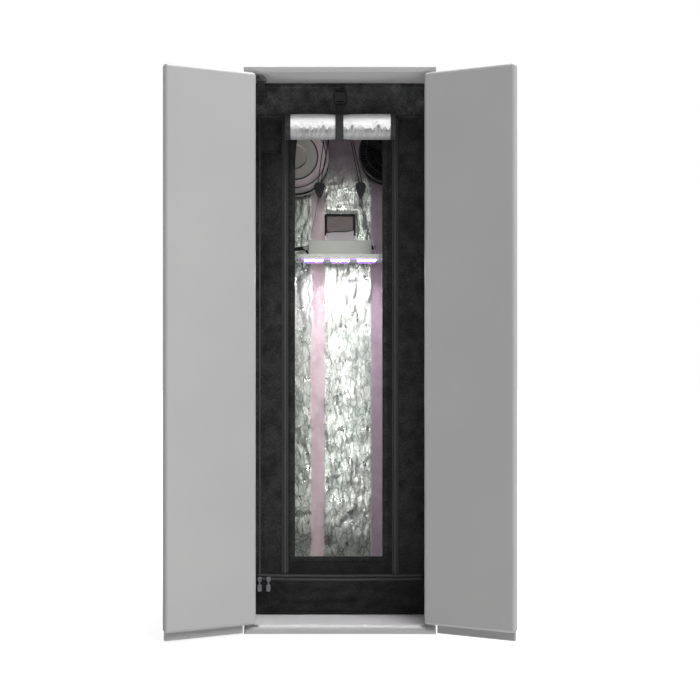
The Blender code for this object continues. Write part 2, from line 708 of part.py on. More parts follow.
def skirt_bulge(x, z):
    """How far the tent's front stands out at a point: wavy between its hem and the zip, flat elsewhere."""
    hem_z = TENT_LOW_Z + SKIRT_HEM
    if z <= hem_z or z >= FOLD_TOP_Z:
        return 0.0
    share = math.sin(math.pi * (z - hem_z) / (FOLD_TOP_Z - hem_z))
    return SKIRT_FOLD * share * (0.5 + 0.5 * math.cos(x / TENT_X * 3 * math.pi))


def make_tent_front():
    """The tent's front panel, open at the window, with raised seams and piping."""
    left = WINDOW_SHIFT - WINDOW_WIDTH / 2
    right = WINDOW_SHIFT + WINDOW_WIDTH / 2
    columns = spaced(-TENT_X, left, 3) + spaced(left, right, 6)[1:] + spaced(right, TENT_X, 3)[1:]
    rows = [TENT_LOW_Z] + spaced(TENT_LOW_Z + SKIRT_HEM, FOLD_TOP_Z, 4)
    rows += [WINDOW_SILL_Z, WINDOW_HEAD_Z, TENT_HIGH_Z]
    first, last = columns.index(left), columns.index(right)
    gap_row = rows.index(WINDOW_SILL_Z)

    def point(x, z):
        return (x, TENT_FRONT_Y - skirt_bulge(x, z), z)

    def kept(i, j):
        return not (first <= i < last and j == gap_row)

    front = sheet("tent_front", columns, rows, point, FABRIC_THICK, BLACK_CLOTH, kept)
    unite(front, *front_trims())


def front_trims():
    """The raised seams, zips and piping that are sewn to the tent's front.

    Each strip is sunk to a depth of its own into the cloth, so that no two share a face where they cross.
    """
    edge_x, half, zip_half = TENT_X - SEAM_WIDTH, SEAM_WIDTH / 2, FOOT_ZIP_WIDTH / 2
    upper_zip_z = FOOT_ZIP_Z + FOOT_ZIP_RISE
    strips = [(-edge_x, edge_x, FOOT_ZIP_Z - zip_half, FOOT_ZIP_Z + zip_half, ZIP_PROUD),
              (-edge_x, edge_x, upper_zip_z - zip_half, upper_zip_z + zip_half, ZIP_PROUD),
              (SLIDER_LEFT_X - half, SLIDER_LEFT_X + half, FOOT_ZIP_Z, SEAM_Z - SEAM_WIDTH, SIDE_ZIP_PROUD)]
    for side in (-1, 1):
        seam_x = WINDOW_SHIFT + side * WINDOW_SEAM_WIDTH / 2
        low_x, high_x = sorted((side * edge_x, seam_x))
        strips.append((seam_x - half, seam_x + half, upper_zip_z, SEAM_Z + half, SEAM_PROUD))
        strips.append((low_x, high_x, SEAM_Z - half, SEAM_Z, CROSS_SEAM_PROUD))
    trims = []
    for i, (low_x, high_x, low_z, high_z, proud) in enumerate(strips):
        sunk_y = TENT_FRONT_Y + FABRIC_THICK * (i + 1) / (len(strips) + 1)
        trims.append(box("strip", (low_x, TENT_FRONT_Y - proud, low_z), (high_x, sunk_y, high_z), BLACK_CLOTH))
    piping_y = TENT_FRONT_Y - PIPING_RADIUS / 2
    for z in (TENT_LOW_Z + SKIRT_HEM / 2, PIPING_TOP_Z):
        trims.append(rod("piping", (-TENT_X + half, piping_y, z), (TENT_X - half, piping_y, z),
                         PIPING_RADIUS, BLACK_CLOTH, 6))
    return trims


def wall_lean(y, z, low, high):
    """How far a side wall leans in at a point: FABRIC_BULGE at its middle, nothing at its edges."""
    along = math.sin(math.pi * (y - low[0]) / (high[0] - low[0]))
    up = math.sin(math.pi * (z - low[1]) / (high[1] - low[1]))
    return FABRIC_BULGE * along * up


def make_tent_walls():
    """The tent's side walls, back wall, roof and floor."""
    low = (SKIN_FRONT_Y + SEAT_GAP, TENT_LOW_Z)
    high = (SKIN_BACK_Y - SEAT_GAP, TENT_HIGH_Z)
    depths, heights = spaced(low[0], high[0], 4), spaced(low[1], high[1], 6)
    for name, side in (("tent_left_wall", -1), ("tent_right_wall", 1)):
        def point(y, z, side=side):
            return (side * (TENT_X - wall_lean(y, z, low, high)), y, z)

        sheet(name, depths[::side], heights, point, FABRIC_THICK, SILVER_CLOTH)
    back = box("tent_back", (-TENT_X, SKIN_BACK_Y, TENT_LOW_Z), (TENT_X, TENT_BACK_Y, TENT_HIGH_Z), SILVER_CLOTH)
    cut_back_openings(back, SKIN_BACK_Y, TENT_BACK_Y)
    unite(back, *vent_flap())
    inner_x = SKIN_X - SEAT_GAP
    box("tent_roof", (-inner_x, low[0], SKIN_HIGH_Z), (inner_x, high[0], TENT_HIGH_Z), SILVER_CLOTH)
    floor = box("tent_floor", (-inner_x, low[0], TENT_LOW_Z), (inner_x, high[0], SKIN_LOW_Z), SILVER_CLOTH)
    pad_in = CONNECTOR_HALF + FLOOR_PAD_GAP
    pad_x = POST_X - pad_in
    pad = box("floor_pad", (-pad_x, POST_FRONT_Y + pad_in, (TENT_LOW_Z + SKIN_LOW_Z) / 2),
              (pad_x, POST_BACK_Y - pad_in, SKIN_LOW_Z + FLOOR_PAD_RISE), SILVER_CLOTH)
    unite(floor, pad)


def make_vent_net():
    """The net over the vent in the tent's back wall."""
    half, tall = VENT_WIDTH / 2, VENT_HEIGHT / 2
    net_y = SKIN_BACK_Y - SEAT_GAP
    columns = net_lines(-half, half, VENT_GAPS_WIDE)
    rows = net_lines(VENT_CENTRE_Z - tall, VENT_CENTRE_Z + tall, VENT_GAPS_HIGH)
    sheet("vent_mesh", columns[::-1], rows, lambda x, z: (x, net_y, z), NET_THICK, NET_BROWN,
          lambda i, j: i % 2 == 0 or j % 2 == 0)


def vent_flap():
    """The flap folded down below the vent: it lies over the net's hem and is sewn to the wall under it."""
    flap_y = SKIN_BACK_Y - 2 * SEAT_GAP - NET_THICK - FLAP_THICK / 2
    edge, sill = VENT_WIDTH / 2 + VENT_BORDER, VENT_CENTRE_Z - VENT_HEIGHT / 2
    hem = sill - VENT_BORDER - SEAT_GAP
    low = hem - FLAP_HEIGHT
    shape = [(-edge, low), (edge, low), (edge, sill + FLAP_SKEW), (-edge, sill)]
    flap = outline("flap", shape, FLAP_THICK, (0, flap_y, 0), UPRIGHT, SILVER_CLOTH)
    seam = box("flap_seam", (-edge, flap_y, low), (edge, SKIN_BACK_Y + FABRIC_THICK / 2, hem), SILVER_CLOTH)
    return flap, seam


def net_lines(low, high, gaps):
    """The edges of the strands of a net: a border, then a gap and a strand in turn, then a border."""
    pitch = (high - low + NET_STRAND) / gaps
    lines = [low - VENT_BORDER]
    for i in range(gaps):
        lines.append(low + i * pitch)
        lines.append(low + (i + 1) * pitch - NET_STRAND)
    lines.append(high + VENT_BORDER)
    return lines


def frame_post(name, x, y, x_in, y_in):
    """An upright tube with a three-way connector at each end."""
    post = rod(name, (x, y, RAIL_LOW_Z), (x, y, RAIL_HIGH_Z), TUBE_RADIUS, WHITE_TUBE)
    pieces = []
    for z, z_in in ((RAIL_LOW_Z, 1), (RAIL_HIGH_Z, -1)):
        corner = Vector((x, y, z))
        half = Vector((CONNECTOR_HALF,) * 3)
        pieces.append(box("connector", corner - half, corner + half, BLACK_PLASTIC, SLEEVE_RADIUS / 4, 1))
        for reach in ((x_in, 0, 0), (0, y_in, 0), (0, 0, z_in)):
            pieces.append(rod("sleeve", corner, corner + Vector(reach) * SLEEVE_LENGTH, SLEEVE_RADIUS,
                              BLACK_PLASTIC))
    return unite(post, *pieces)


def make_frame():
    """Posts, rails and hanging bars."""
    for depth, y, y_in in (("front", POST_FRONT_Y, 1), ("rear", POST_BACK_Y, -1)):
        for word, side in (("left", -1), ("right", 1)):
            frame_post(f"{depth}_{word}_post", side * POST_X, y, -side, y_in)
    near = SLEEVE_LENGTH + SEAT_GAP
    for level, z in (("bottom", RAIL_LOW_Z), ("top", RAIL_HIGH_Z)):
        for depth, y in (("front", POST_FRONT_Y), ("rear", POST_BACK_Y)):
            rod(f"{level}_{depth}_rail", (-POST_X + near, y, z), (POST_X - near, y, z), TUBE_RADIUS, WHITE_TUBE)
        for word, x in (("left", -POST_X), ("right", POST_X)):
            rod(f"{level}_{word}_rail", (x, POST_FRONT_Y + near, z), (x, POST_BACK_Y - near, z),
                TUBE_RADIUS, WHITE_TUBE)
    for name, y in (("front_hanging_bar", FRONT_BAR_Y), ("rear_hanging_bar", REAR_BAR_Y)):
        hanging_bar(name, y)


def hanging_bar(name, y):
    """A bar across the tent with a ring at each end that slides on a side rail."""
    start, end = Vector((-POST_X, y, RAIL_HIGH_Z)), Vector((POST_X, y, RAIL_HIGH_Z))
    bar = rod(name, start, end, BAR_RADIUS, WHITE_TUBE)
    half = Vector((0, BAR_RING_LENGTH / 2, 0))
    over = Vector((0, OVERRUN, 0))
    rings = [rod("ring", spot - half, spot + half, BAR_RING_RADIUS, BLACK_PLASTIC, 16) for spot in (start, end)]
    bores = [rod("bore", spot - half - over, spot + half + over, BAR_RING_BORE, BLACK_PLASTIC, 16)
             for spot in (start, end)]
    unite(bar, *rings)
    cut(bar, *bores)


def roll_section():
    """The rolled flap's section from its core out, as (y, z) from the roll's centre, with its last run."""
    steps = int(ROLL_TURNS * ROLL_TURN_STEPS)
    outer = ROLL_RADIUS - ROLL_THICK / 2
    spots = []
    for i in range(steps + 1):
        share = i / steps
        radius = ROLL_CORE_RADIUS + (outer - ROLL_CORE_RADIUS) * share
        angle = math.pi / 2 + (1 - share) * ROLL_TURNS * 2 * math.pi
        spots.append((radius * math.cos(angle), radius * math.sin(angle)))
    return spots


def make_roll():
    """The window's flap, rolled up from its foot and sewn to the front along the cross seam."""
    columns = spaced(WINDOW_SHIFT - ROLL_LENGTH / 2, WINDOW_SHIFT + ROLL_LENGTH / 2, 4)
    sewn = (TENT_FRONT_Y - SEAM_PROUD - SEAT_GAP - ROLL_CENTRE_Y, SEAM_Z - ROLL_CENTRE_Z)

    def point(x, spot):
        if spot == sewn:
            draw = 1
        else:
            draw = 1 - ROLL_TUCK / ROLL_RADIUS * math.cos(math.pi * (x - WINDOW_SHIFT) / ROLL_LENGTH)
        return (x, ROLL_CENTRE_Y + spot[0] * draw, ROLL_CENTRE_Z + spot[1] * draw)

    roll = sheet("window_flap_roll", columns, roll_section() + [sewn], point, ROLL_THICK, SILVER_CLOTH)
    roll.modifiers["thickness"].offset = 0


def ribbon(name, path, centre_x, width, thick, material):
    """A flat strap of one width along a path of (y, z) points down its middle."""
    sides = [centre_x - width / 2, centre_x + width / 2]
    part = sheet(name, sides, path, lambda x, spot: (x, spot[0], spot[1]), thick, material)
    part.modifiers["thickness"].offset = 0
    return part


def make_strap():
    """The strap that holds the roll: down from the top band, round the roll and up behind it."""
    face_y = TENT_FRONT_Y - SEAT_GAP - STRAP_THICK / 2
    reach = face_y - ROLL_CENTRE_Y
    start = [(face_y, PIPING_TOP_Z - PIPING_RADIUS * 2), (face_y, SEAM_Z + STRAP_WIDTH / 2)]
    around = arc((ROLL_CENTRE_Y, ROLL_CENTRE_Z), reach, 90, 360, 18)
    end = [(face_y, WINDOW_HEAD_Z + STRAP_WIDTH / 2)]
    ribbon("roll_strap", start + around + end, 0, STRAP_WIDTH, STRAP_THICK, BLACK_CLOTH)


def make_buckle():
    """A side-release buckle on the strap: a frame with two webbing slots and an arm at each side."""
    back_y = TENT_FRONT_Y - STRAP_THICK - 2 * SEAT_GAP
    front_y = back_y - BUCKLE_THICK
    half, high_z = BUCKLE_WIDTH / 2, BUCKLE_LOW_Z + BUCKLE_HEIGHT
    body_half = half - BUCKLE_ARM / 2
    buckle = box("strap_buckle", (-body_half, front_y, BUCKLE_LOW_Z), (body_half, back_y, high_z),
                 BLACK_PLASTIC, BUCKLE_ROUND)
    middle_z = BUCKLE_LOW_Z + BUCKLE_HEIGHT / 2
    for side in (-1, 1):
        low_x, high_x = sorted((side * half, side * (half - BUCKLE_ARM)))
        unite(buckle, box("arm", (low_x, front_y + BUCKLE_ROUND, middle_z - BUCKLE_ARM_HEIGHT / 2),
                          (high_x, back_y - BUCKLE_ROUND, middle_z + BUCKLE_ARM_HEIGHT / 2), BLACK_PLASTIC,
                          BUCKLE_ROUND))
    for z in (BUCKLE_LOW_Z + BUCKLE_BAR, high_z - BUCKLE_BAR - BUCKLE_SLOT):
        cut(buckle, box("slot", (-STRAP_WIDTH / 2, front_y - OVERRUN, z),
                        (STRAP_WIDTH / 2, back_y + OVERRUN, z + BUCKLE_SLOT), BLACK_PLASTIC))


def make_corner_ring():
    """The wire ring at the tent's top left corner and the webbing that ties the tent to it."""
    base_z = STAPLE_EYE_Z - RING_HEIGHT
    half = RING_WIDTH / 2
    house = [(-half, 0), (half, 0), (half, RING_WALL_HEIGHT), (0, RING_HEIGHT), (-half, RING_WALL_HEIGHT)]
    points = [(RING_CENTRE_X + across, RING_Y, base_z + up) for across, up in house]
    tube_path("corner_ring", points, RING_WIRE_RADIUS, STEEL, closed=True)
    hold = RING_WIRE_RADIUS + SEAT_GAP + TAB_THICK / 2
    wrap = arc((RING_Y, base_z), hold, 45, 270, 8)
    face_y = TENT_FRONT_Y - SEAT_GAP - TAB_THICK / 2
    under_z = base_z - hold
    steps = 5
    spans = spaced(RING_Y, face_y - TAB_THICK, steps)[1:]
    hang = [(y, under_z - TAB_DROP * math.sin(math.pi * (i + 1) / steps)) for i, y in enumerate(spans)]
    sewn = [(face_y, under_z - TAB_THICK), (face_y, under_z - TAB_SEWN)]
    ribbon("ring_webbing", wrap + hang + sewn, RING_CENTRE_X, TAB_WIDTH, TAB_THICK, BLACK_CLOTH)


def zip_slider(name, x):
    """A zip slider, wide at its head and narrow at its tail, with the bridge that holds its tab's pin."""
    back_y = TENT_FRONT_Y - SEAM_PROUD - SEAT_GAP
    front_y = back_y - SLIDER_THICK
    low_z = SKIRT_TOP_Z - SLIDER_HEIGHT
    shape = [(a * SLIDER_WIDTH, b * SLIDER_HEIGHT) for a, b in SLIDER_SHARES]
    slider = outline(name, shape, SLIDER_THICK, (x, (front_y + back_y) / 2, low_z), UPRIGHT, ZIP_GREY)
    round_edges(slider, SLIDER_RADIUS, 1)
    pin = Vector((x, front_y - EAR_REACH + EAR_HEIGHT / 2, low_z + SLIDER_HEIGHT / 3))
    ears = []
    for side in (-1, 1):
        edge = x + side * BRIDGE_WIDTH / 2
        low_x, high_x = sorted((edge, edge - side * EAR_THICK))
        ears.append(box("ear", (low_x, front_y - EAR_REACH, pin.z - EAR_HEIGHT / 2),
                        (high_x, front_y + SLIDER_RADIUS, pin.z + EAR_HEIGHT / 2), ZIP_GREY))
    reach = Vector((BRIDGE_WIDTH / 2 - EAR_THICK / 2, 0, 0))
    shaft = rod("ear_pin", pin - reach, pin + reach, EAR_PIN_RADIUS, ZIP_GREY, 8)
    unite(slider, *ears, shaft)
    return slider, pin


def zip_tab(name, pin):
    """A flat pull with a square collar at its top, hanging from a slider's pin."""
    neck, wide = PULL_TAB_NECK / 2, PULL_TAB_WIDTH / 2
    shoulder, foot = -PULL_TAB_LENGTH / 3, -PULL_TAB_LENGTH
    right = [(neck, 0), (neck, shoulder), (wide, shoulder - neck), (wide, foot + neck), (wide - neck, foot)]
    left = [(-across, up) for across, up in reversed(right)]
    tab = outline(name, right + left, PULL_TAB_THICK, pin, UPRIGHT, ZIP_GREY)
    hold = Vector((neck + SEAT_GAP, PULL_TAB_COLLAR_HALF, PULL_TAB_COLLAR_HALF))
    unite(tab, box("collar", pin - hold, pin + hold, ZIP_GREY))
    open_half = Vector((neck + OVERRUN, PULL_TAB_EYE_HALF, PULL_TAB_EYE_HALF))
    cut(tab, box("eye", pin - open_half, pin + open_half, ZIP_GREY))
    return tab


def make_zips():
    """The slider of the upright zip and that of the zip along the foot, each with its tab."""
    for word, x in (("left", SLIDER_LEFT_X), ("right", SLIDER_RIGHT_X)):
        slider, pin = zip_slider(word + "_zip_slider", x)
        tab = zip_tab(word + "_zip_tab", pin)
        carry(pivot(word + "_slider_place", pin), slider)
        carry(pivot(word + "_tab_axis", pin), tab)


def make_lamp():
    """The lamp's plate, driver box, LED board, knob, gland and the cable between box and plate."""
    half_x, half_y = PLATE_WIDTH / 2, PLATE_DEPTH / 2
    plate_low = PLATE_TOP_Z - PLATE_EDGE
    plate = box("lamp_plate", (-half_x, LAMP_Y - half_y, plate_low), (half_x, LAMP_Y + half_y, PLATE_TOP_Z),
                LAMP_GREY)
    tray = box("plate_tray", (-half_x + PLATE_SHEET, LAMP_Y - half_y + PLATE_SHEET, plate_low - OVERRUN),
               (half_x - PLATE_SHEET, LAMP_Y + half_y - PLATE_SHEET, PLATE_TOP_Z - PLATE_SHEET), LAMP_GREY)
    cut(plate, tray)
    box_low = PLATE_TOP_Z + SEAT_GAP
    driver = box("lamp_driver", (-DRIVER_WIDTH / 2, LAMP_Y - DRIVER_DEPTH / 2, box_low),
                 (DRIVER_WIDTH / 2, LAMP_Y + DRIVER_DEPTH / 2, box_low + DRIVER_HEIGHT), LAMP_GREY, DRIVER_RADIUS)
    gland_end = Vector((-DRIVER_WIDTH / 2 - GLAND_LENGTH, LAMP_Y, KNOB_Z))
    gland = rod("gland", (-DRIVER_WIDTH / 2 + DRIVER_RADIUS, LAMP_Y, KNOB_Z), gland_end, GLAND_RADIUS,
                BLACK_PLASTIC, ROUND_SIDES, GLAND_TIP_RADIUS)
    unite(driver, gland)
    make_led_board(PLATE_TOP_Z - PLATE_SHEET - SEAT_GAP)
    make_knob()
    make_lamp_cable(gland_end)


def make_led_board(high_z):
    """The LED board in the plate's tray, with its rows of lens blocks standing below it."""
    half_x, half_y = PLATE_WIDTH / 2 - BOARD_INSET, PLATE_DEPTH / 2 - BOARD_INSET
    low_z = high_z - BOARD_THICK
    board = box("led_board", (-half_x, LAMP_Y - half_y, low_z), (half_x, LAMP_Y + half_y, high_z), LAMP_GLOW)
    pitch = (PLATE_WIDTH - 2 * BOARD_INSET) / LENS_ROWS
    lenses = []
    for i in range(LENS_ROWS):
        x = (i - (LENS_ROWS - 1) / 2) * pitch
        lens = box("lens", (x - LENS_WIDTH / 2, LAMP_Y - LENS_DEPTH / 2, low_z - LENS_THICK),
                   (x + LENS_WIDTH / 2, LAMP_Y + LENS_DEPTH / 2, low_z + BOARD_THICK / 2), LAMP_GLOW,
                   LENS_ROUND)
        lenses.append(lens)
    unite(board, *lenses)


def make_knob():
    """The dimmer knob on the driver's right end, ribbed round its rim."""
    inner_x = DRIVER_WIDTH / 2 + SEAT_GAP
    count = KNOB_RIBS * 2
    rim = []
    for i in range(count):
        radius = KNOB_RADIUS - (KNOB_RIB_DEPTH if i % 2 else 0)
        angle = 2 * math.pi * i / count
        rim.append((radius * math.cos(angle), radius * math.sin(angle)))
    knob = outline("dimmer_knob", rim, KNOB_LENGTH, (inner_x + KNOB_LENGTH / 2, LAMP_Y, KNOB_Z),
                   (0, math.pi / 2, 0), BLACK_PLASTIC)
    carry(pivot("dimmer_axis", (inner_x, LAMP_Y, KNOB_Z)), knob)


def make_lamp_cable(start):
    """The cable from the driver's gland round and down into the plate."""
    turn_x = start.x - CABLE_STRAIGHT
    points = [Vector((start.x - SEAT_GAP, LAMP_Y, KNOB_Z)), Vector((turn_x, LAMP_Y, KNOB_Z))]
    middle_y = LAMP_Y + CABLE_TURN_RADIUS
    for angle in spaced(0, 180, 12)[1:]:
        turn = math.radians(angle)
        points.append(Vector((turn_x - CABLE_TURN_RADIUS * math.sin(turn),
                              middle_y - CABLE_TURN_RADIUS * math.cos(turn),
                              KNOB_Z - CABLE_SAG * math.sin(turn))))
    far_y = LAMP_Y + 2 * CABLE_TURN_RADIUS
    foot_z = PLATE_TOP_Z + SEAT_GAP
    for angle in spaced(0, 90, 6)[1:]:
        turn = math.radians(angle)
        points.append(Vector((turn_x + CABLE_DROP_RADIUS * math.sin(turn), far_y,
                              KNOB_Z - CABLE_DROP_RADIUS * (1 - math.cos(turn)))))
    points.append(Vector((turn_x + CABLE_DROP_RADIUS, far_y, foot_z)))
    tube_path("lamp_cable", points, CABLE_RADIUS, BLACK_PLASTIC)


def make_rigging():
    """Two rope ratchets over the lamp, their ropes over the front bar and the wires down to the plate."""
    for word, side, tops in (("left", -1, ROPE_LEFT_TOP_X), ("right", 1, ROPE_RIGHT_TOP_X)):
        x = side * RATCHET_X
        low_z = RATCHET_TOP_Z - RATCHET_HEIGHT
        shape = [(a * RATCHET_WIDTH, b * RATCHET_HEIGHT) for a, b in RATCHET_SHARES]
        body = outline(word + "_rope_ratchet", shape, RATCHET_THICK, (x, LAMP_Y, low_z), UPRIGHT, BLACK_PLASTIC)
        round_edges(body, RATCHET_EDGE)
        eye_z = low_z + RATCHET_EYE_RISE
        reach = Vector((0, RATCHET_THICK, 0))
        middle = Vector((x, LAMP_Y, eye_z))
        cut(body, rod("eye", middle - reach, middle + reach, RATCHET_EYE_RADIUS, BLACK_PLASTIC, 10))
        make_rope(word + "_rope", x, tops)
        rest_z = eye_z - RATCHET_EYE_RADIUS + WIRE_RADIUS + SEAT_GAP
        make_wire(word + "_lamp_wire", x, rest_z, side * WIRE_FOOT_X)


def make_wire(name, x, rest_z, foot_x):
    """A steel wire from the plate's front edge up through a ratchet's eye and down to its rear edge."""
    foot_z = PLATE_TOP_Z + SEAT_GAP
    rise = foot_z + WIRE_RADIUS * 4
    half = []
    for side in (-1, 1):
        edge_y = LAMP_Y + side * (PLATE_DEPTH / 2 - WIRE_FOOT_INSET)
        half.append([(foot_x, edge_y, foot_z), (foot_x, edge_y, rise),
                     (x, LAMP_Y + side * (RATCHET_THICK / 2 + 2 * WIRE_RADIUS), rest_z)])
    tube_path(name, half[0] + half[1][::-1], WIRE_RADIUS, STEEL)


def make_rope(name, foot_x, top_x):
    """One rope: up from the ratchet in front of the bar, over it and down behind it."""
    reach = BAR_RADIUS + SEAT_GAP + ROPE_RADIUS
    foot_z = RATCHET_TOP_Z + SEAT_GAP
    ends = []
    for side in (-1, 1):
        x, y = foot_x + side * ROPE_STRAND_HALF, LAMP_Y + side * ROPE_STRAND_HALF / 2
        ends.append([(x, y, foot_z), (x, y, foot_z + 2 * ROPE_RADIUS)])
    steps = 8
    over = [(top_x[0] + (top_x[1] - top_x[0]) * i / steps, y, z)
            for i, (y, z) in enumerate(arc((FRONT_BAR_Y, RAIL_HIGH_Z), reach, 180, 0, steps))]
    tube_path(name, ends[0] + over + ends[1][::-1], ROPE_RADIUS, BLACK_PLASTIC)


def make_filter():
    """The carbon filter, its end cap with its rings, the duct fan behind it and the strap that holds it."""
    rim, long_rim = FILTER_FLANGE_RADIUS, FILTER_FLANGE_LENGTH
    body = [(0, FILTER_LENGTH), (SPIGOT_RADIUS, FILTER_LENGTH), (rim, FILTER_LENGTH),
            (rim, FILTER_LENGTH - long_rim), (FILTER_RADIUS, FILTER_LENGTH - long_rim),
            (FILTER_RADIUS, CAP_THICK + SEAT_GAP), (0, CAP_THICK + SEAT_GAP)]
    place = (FILTER_X, FILTER_FRONT_Y, FILTER_Z)
    turned("filter_body", body, place, (0, 1, 0), FILTER_WHITE, TURN_STEPS)
    groove_in = CAP_GROOVE_RADIUS - CAP_GROOVE_WIDTH
    cap = [(0, CAP_THICK), (rim, CAP_THICK), (rim, CAP_SLOPE), (rim - CAP_SLOPE, 0), (CAP_GROOVE_RADIUS, 0),
           (CAP_GROOVE_RADIUS, CAP_GROOVE_DEPTH), (groove_in, CAP_GROOVE_DEPTH), (groove_in, 0),
           (CAP_RECESS_RADIUS + CAP_SLOPE, 0), (CAP_RECESS_RADIUS, CAP_RECESS_DEPTH), (0, CAP_RECESS_DEPTH)]
    turned("filter_end_cap", cap, place, (0, 1, 0), FILTER_WHITE, TURN_STEPS)
    make_duct_fan()
    make_filter_strap()


def make_duct_fan():
    """The fan behind the filter: a round housing that narrows into the port, with fixed vanes in its mouth."""
    start = SEAT_GAP
    port_end = BACK_Y - FILTER_BACK_Y - BACK_THICK / 2
    spigot = SPIGOT_RADIUS
    step = DUCT_FAN_RADIUS - spigot
    mouth = DUCT_VANE_LENGTH
    profile = [(0, port_end - mouth), (spigot - DUCT_WALL, port_end - mouth), (spigot - DUCT_WALL, port_end),
               (spigot, port_end), (spigot, start + DUCT_FAN_LENGTH + step),
               (DUCT_FAN_RADIUS, start + DUCT_FAN_LENGTH), (DUCT_FAN_RADIUS, start), (0, start)]
    place = Vector((FILTER_X, FILTER_BACK_Y, FILTER_Z))
    fan = turned("duct_fan", profile, place, (0, 1, 0), BLACK_PLASTIC, 32)
    floor_y = FILTER_BACK_Y + port_end - mouth
    hub = rod("hub", (FILTER_X, floor_y - DUCT_WALL, FILTER_Z),
              (FILTER_X, floor_y + DUCT_VANE_LENGTH / 2, FILTER_Z), DUCT_HUB_RADIUS, BLACK_PLASTIC, 16)
    vanes = []
    for i in range(DUCT_VANES // 2):
        reach = spigot - DUCT_WALL / 2
        vane = box("vane", (-reach, 0, -DUCT_VANE_THICK / 2),
                   (reach, DUCT_VANE_LENGTH / 2 + DUCT_WALL / 2, DUCT_VANE_THICK / 2), BLACK_PLASTIC)
        vane.location = (FILTER_X, floor_y + DUCT_VANE_LENGTH / 4 - DUCT_WALL / 2, FILTER_Z)
        vane.rotation_euler = (0, 2 * math.pi * i / DUCT_VANES, 0)
        vanes.append(vane)
    unite(fan, hub, *vanes)


def make_filter_strap():
    """A webbing band round the filter, with a loop on its top that hangs over the rear hanging bar."""
    low_y, high_y = REAR_BAR_Y - FILTER_STRAP_WIDTH / 2, REAR_BAR_Y + FILTER_STRAP_WIDTH / 2
    inner = FILTER_RADIUS + FILTER_STRAP_SLACK
    band = arc((FILTER_X, FILTER_Z), inner, 0, 360, TURN_STEPS)[1:]
    strap = sheet("filter_strap", band, [high_y, low_y], lambda spot, y: (spot[0], y, spot[1]),
                  FILTER_STRAP_THICK, BLACK_CLOTH, loop=True)
    strap.modifiers["thickness"].offset = 1
    reach = BAR_RADIUS + SEAT_GAP + FILTER_STRAP_THICK / 2
    foot_z = FILTER_Z + inner + FILTER_STRAP_THICK / 3
    over = arc((REAR_BAR_Y, RAIL_HIGH_Z), reach, 180, 0, 10)
    path = [(over[0][0], foot_z)] + over + [(over[-1][0], foot_z)]
    unite(strap, ribbon("hanger", path, FILTER_X, FILTER_STRAP_WIDTH, FILTER_STRAP_THICK, BLACK_CLOTH))


def polar(radius, y, angle):
    """A point round the round fan's axis."""
    return (FAN_X + radius * math.cos(angle), y, FAN_Z + radius * math.sin(angle))


def make_fan_guard():
    """The fan's front guard in one sheet: outer band, radial fins, inner band, spokes and a hub disc."""
    inner_band = GUARD_FIN_INNER - GUARD_INNER_BAND
    radii = [FAN_RADIUS, FAN_RADIUS - GUARD_OUTER_BAND, GUARD_FIN_INNER, inner_band, GUARD_HUB_RADIUS, 0]
    sectors = GUARD_FINS * 2
    angles = [2 * math.pi * i / sectors for i in range(sectors)]
    spoke_every = sectors // GUARD_SPOKES

    def point(angle, radius):
        return polar(radius, FAN_FRONT_Y - GUARD_DOME * (1 - (radius / FAN_RADIUS) ** 2), angle)

    def kept(i, j):
        fin, spoke = i % 2 == 0, i % spoke_every < 2
        return {1: fin, 3: spoke}.get(j, True)

    sheet("fan_guard", angles, radii, point, GUARD_THICK, BLACK_PLASTIC, kept, loop=True)


def make_fan_housing():
    """The fan's shell with slots in its back, the motor's pod in its middle and the lug that it tilts on."""
    slope = FAN_DEPTH / 3
    stations = [(FAN_RADIUS, FAN_SHELL_Y), (FAN_RADIUS, FAN_BACK_Y - slope), (FAN_RADIUS - slope, FAN_BACK_Y),
                (POD_RADIUS + FAN_WALL, FAN_BACK_Y), (POD_RADIUS, FAN_BACK_Y), (POD_RADIUS, POD_END_Y),
                (0, POD_END_Y)]
    sectors = 32
    angles = [2 * math.pi * i / sectors for i in range(sectors)]
    housing = sheet("fan_housing", angles[::-1], stations, lambda angle, spot: polar(*spot, angle), FAN_WALL,
                    BLACK_PLASTIC, lambda i, j: j != 2 or i % 4 < 2, loop=True)
    motor = rod("motor", (FAN_X, FAN_BACK_Y - FAN_WALL / 2, FAN_Z), (FAN_X, POD_END_Y - FAN_WALL / 2, FAN_Z),
                POD_RADIUS - FAN_WALL / 2, BLACK_PLASTIC, 20)
    lug_half = CLIP_WIDTH / 2 - CLIP_CHEEK_THICK - SEAT_GAP
    tilt = Vector((FAN_X, REAR_BAR_Y, FAN_Z))
    arm = box("lug_arm", (FAN_X - lug_half, POD_END_Y - FAN_WALL / 2, FAN_Z - CLIP_PIVOT_RADIUS),
              (FAN_X + lug_half, tilt.y, FAN_Z + CLIP_PIVOT_RADIUS), BLACK_PLASTIC)
    reach = Vector((lug_half, 0, 0))
    over = Vector((OVERRUN, 0, 0))
    eye = rod("lug_eye", tilt - reach, tilt + reach, CLIP_PIVOT_RADIUS, BLACK_PLASTIC, 16)
    unite(housing, motor, arm, eye)
    bore = rod("lug_bore", tilt - reach - over, tilt + reach + over, PIVOT_PIN_RADIUS + PIVOT_CLEARANCE,
               BLACK_PLASTIC)
    shaft_hole = rod("shaft_hole", (FAN_X, FAN_BACK_Y - FAN_WALL - OVERRUN, FAN_Z),
                     (FAN_X, FAN_BACK_Y + SHAFT_INSERT + SEAT_GAP, FAN_Z), SHAFT_RADIUS + SHAFT_CLEARANCE,
                     BLACK_PLASTIC)
    cut(housing, bore, shaft_hole)


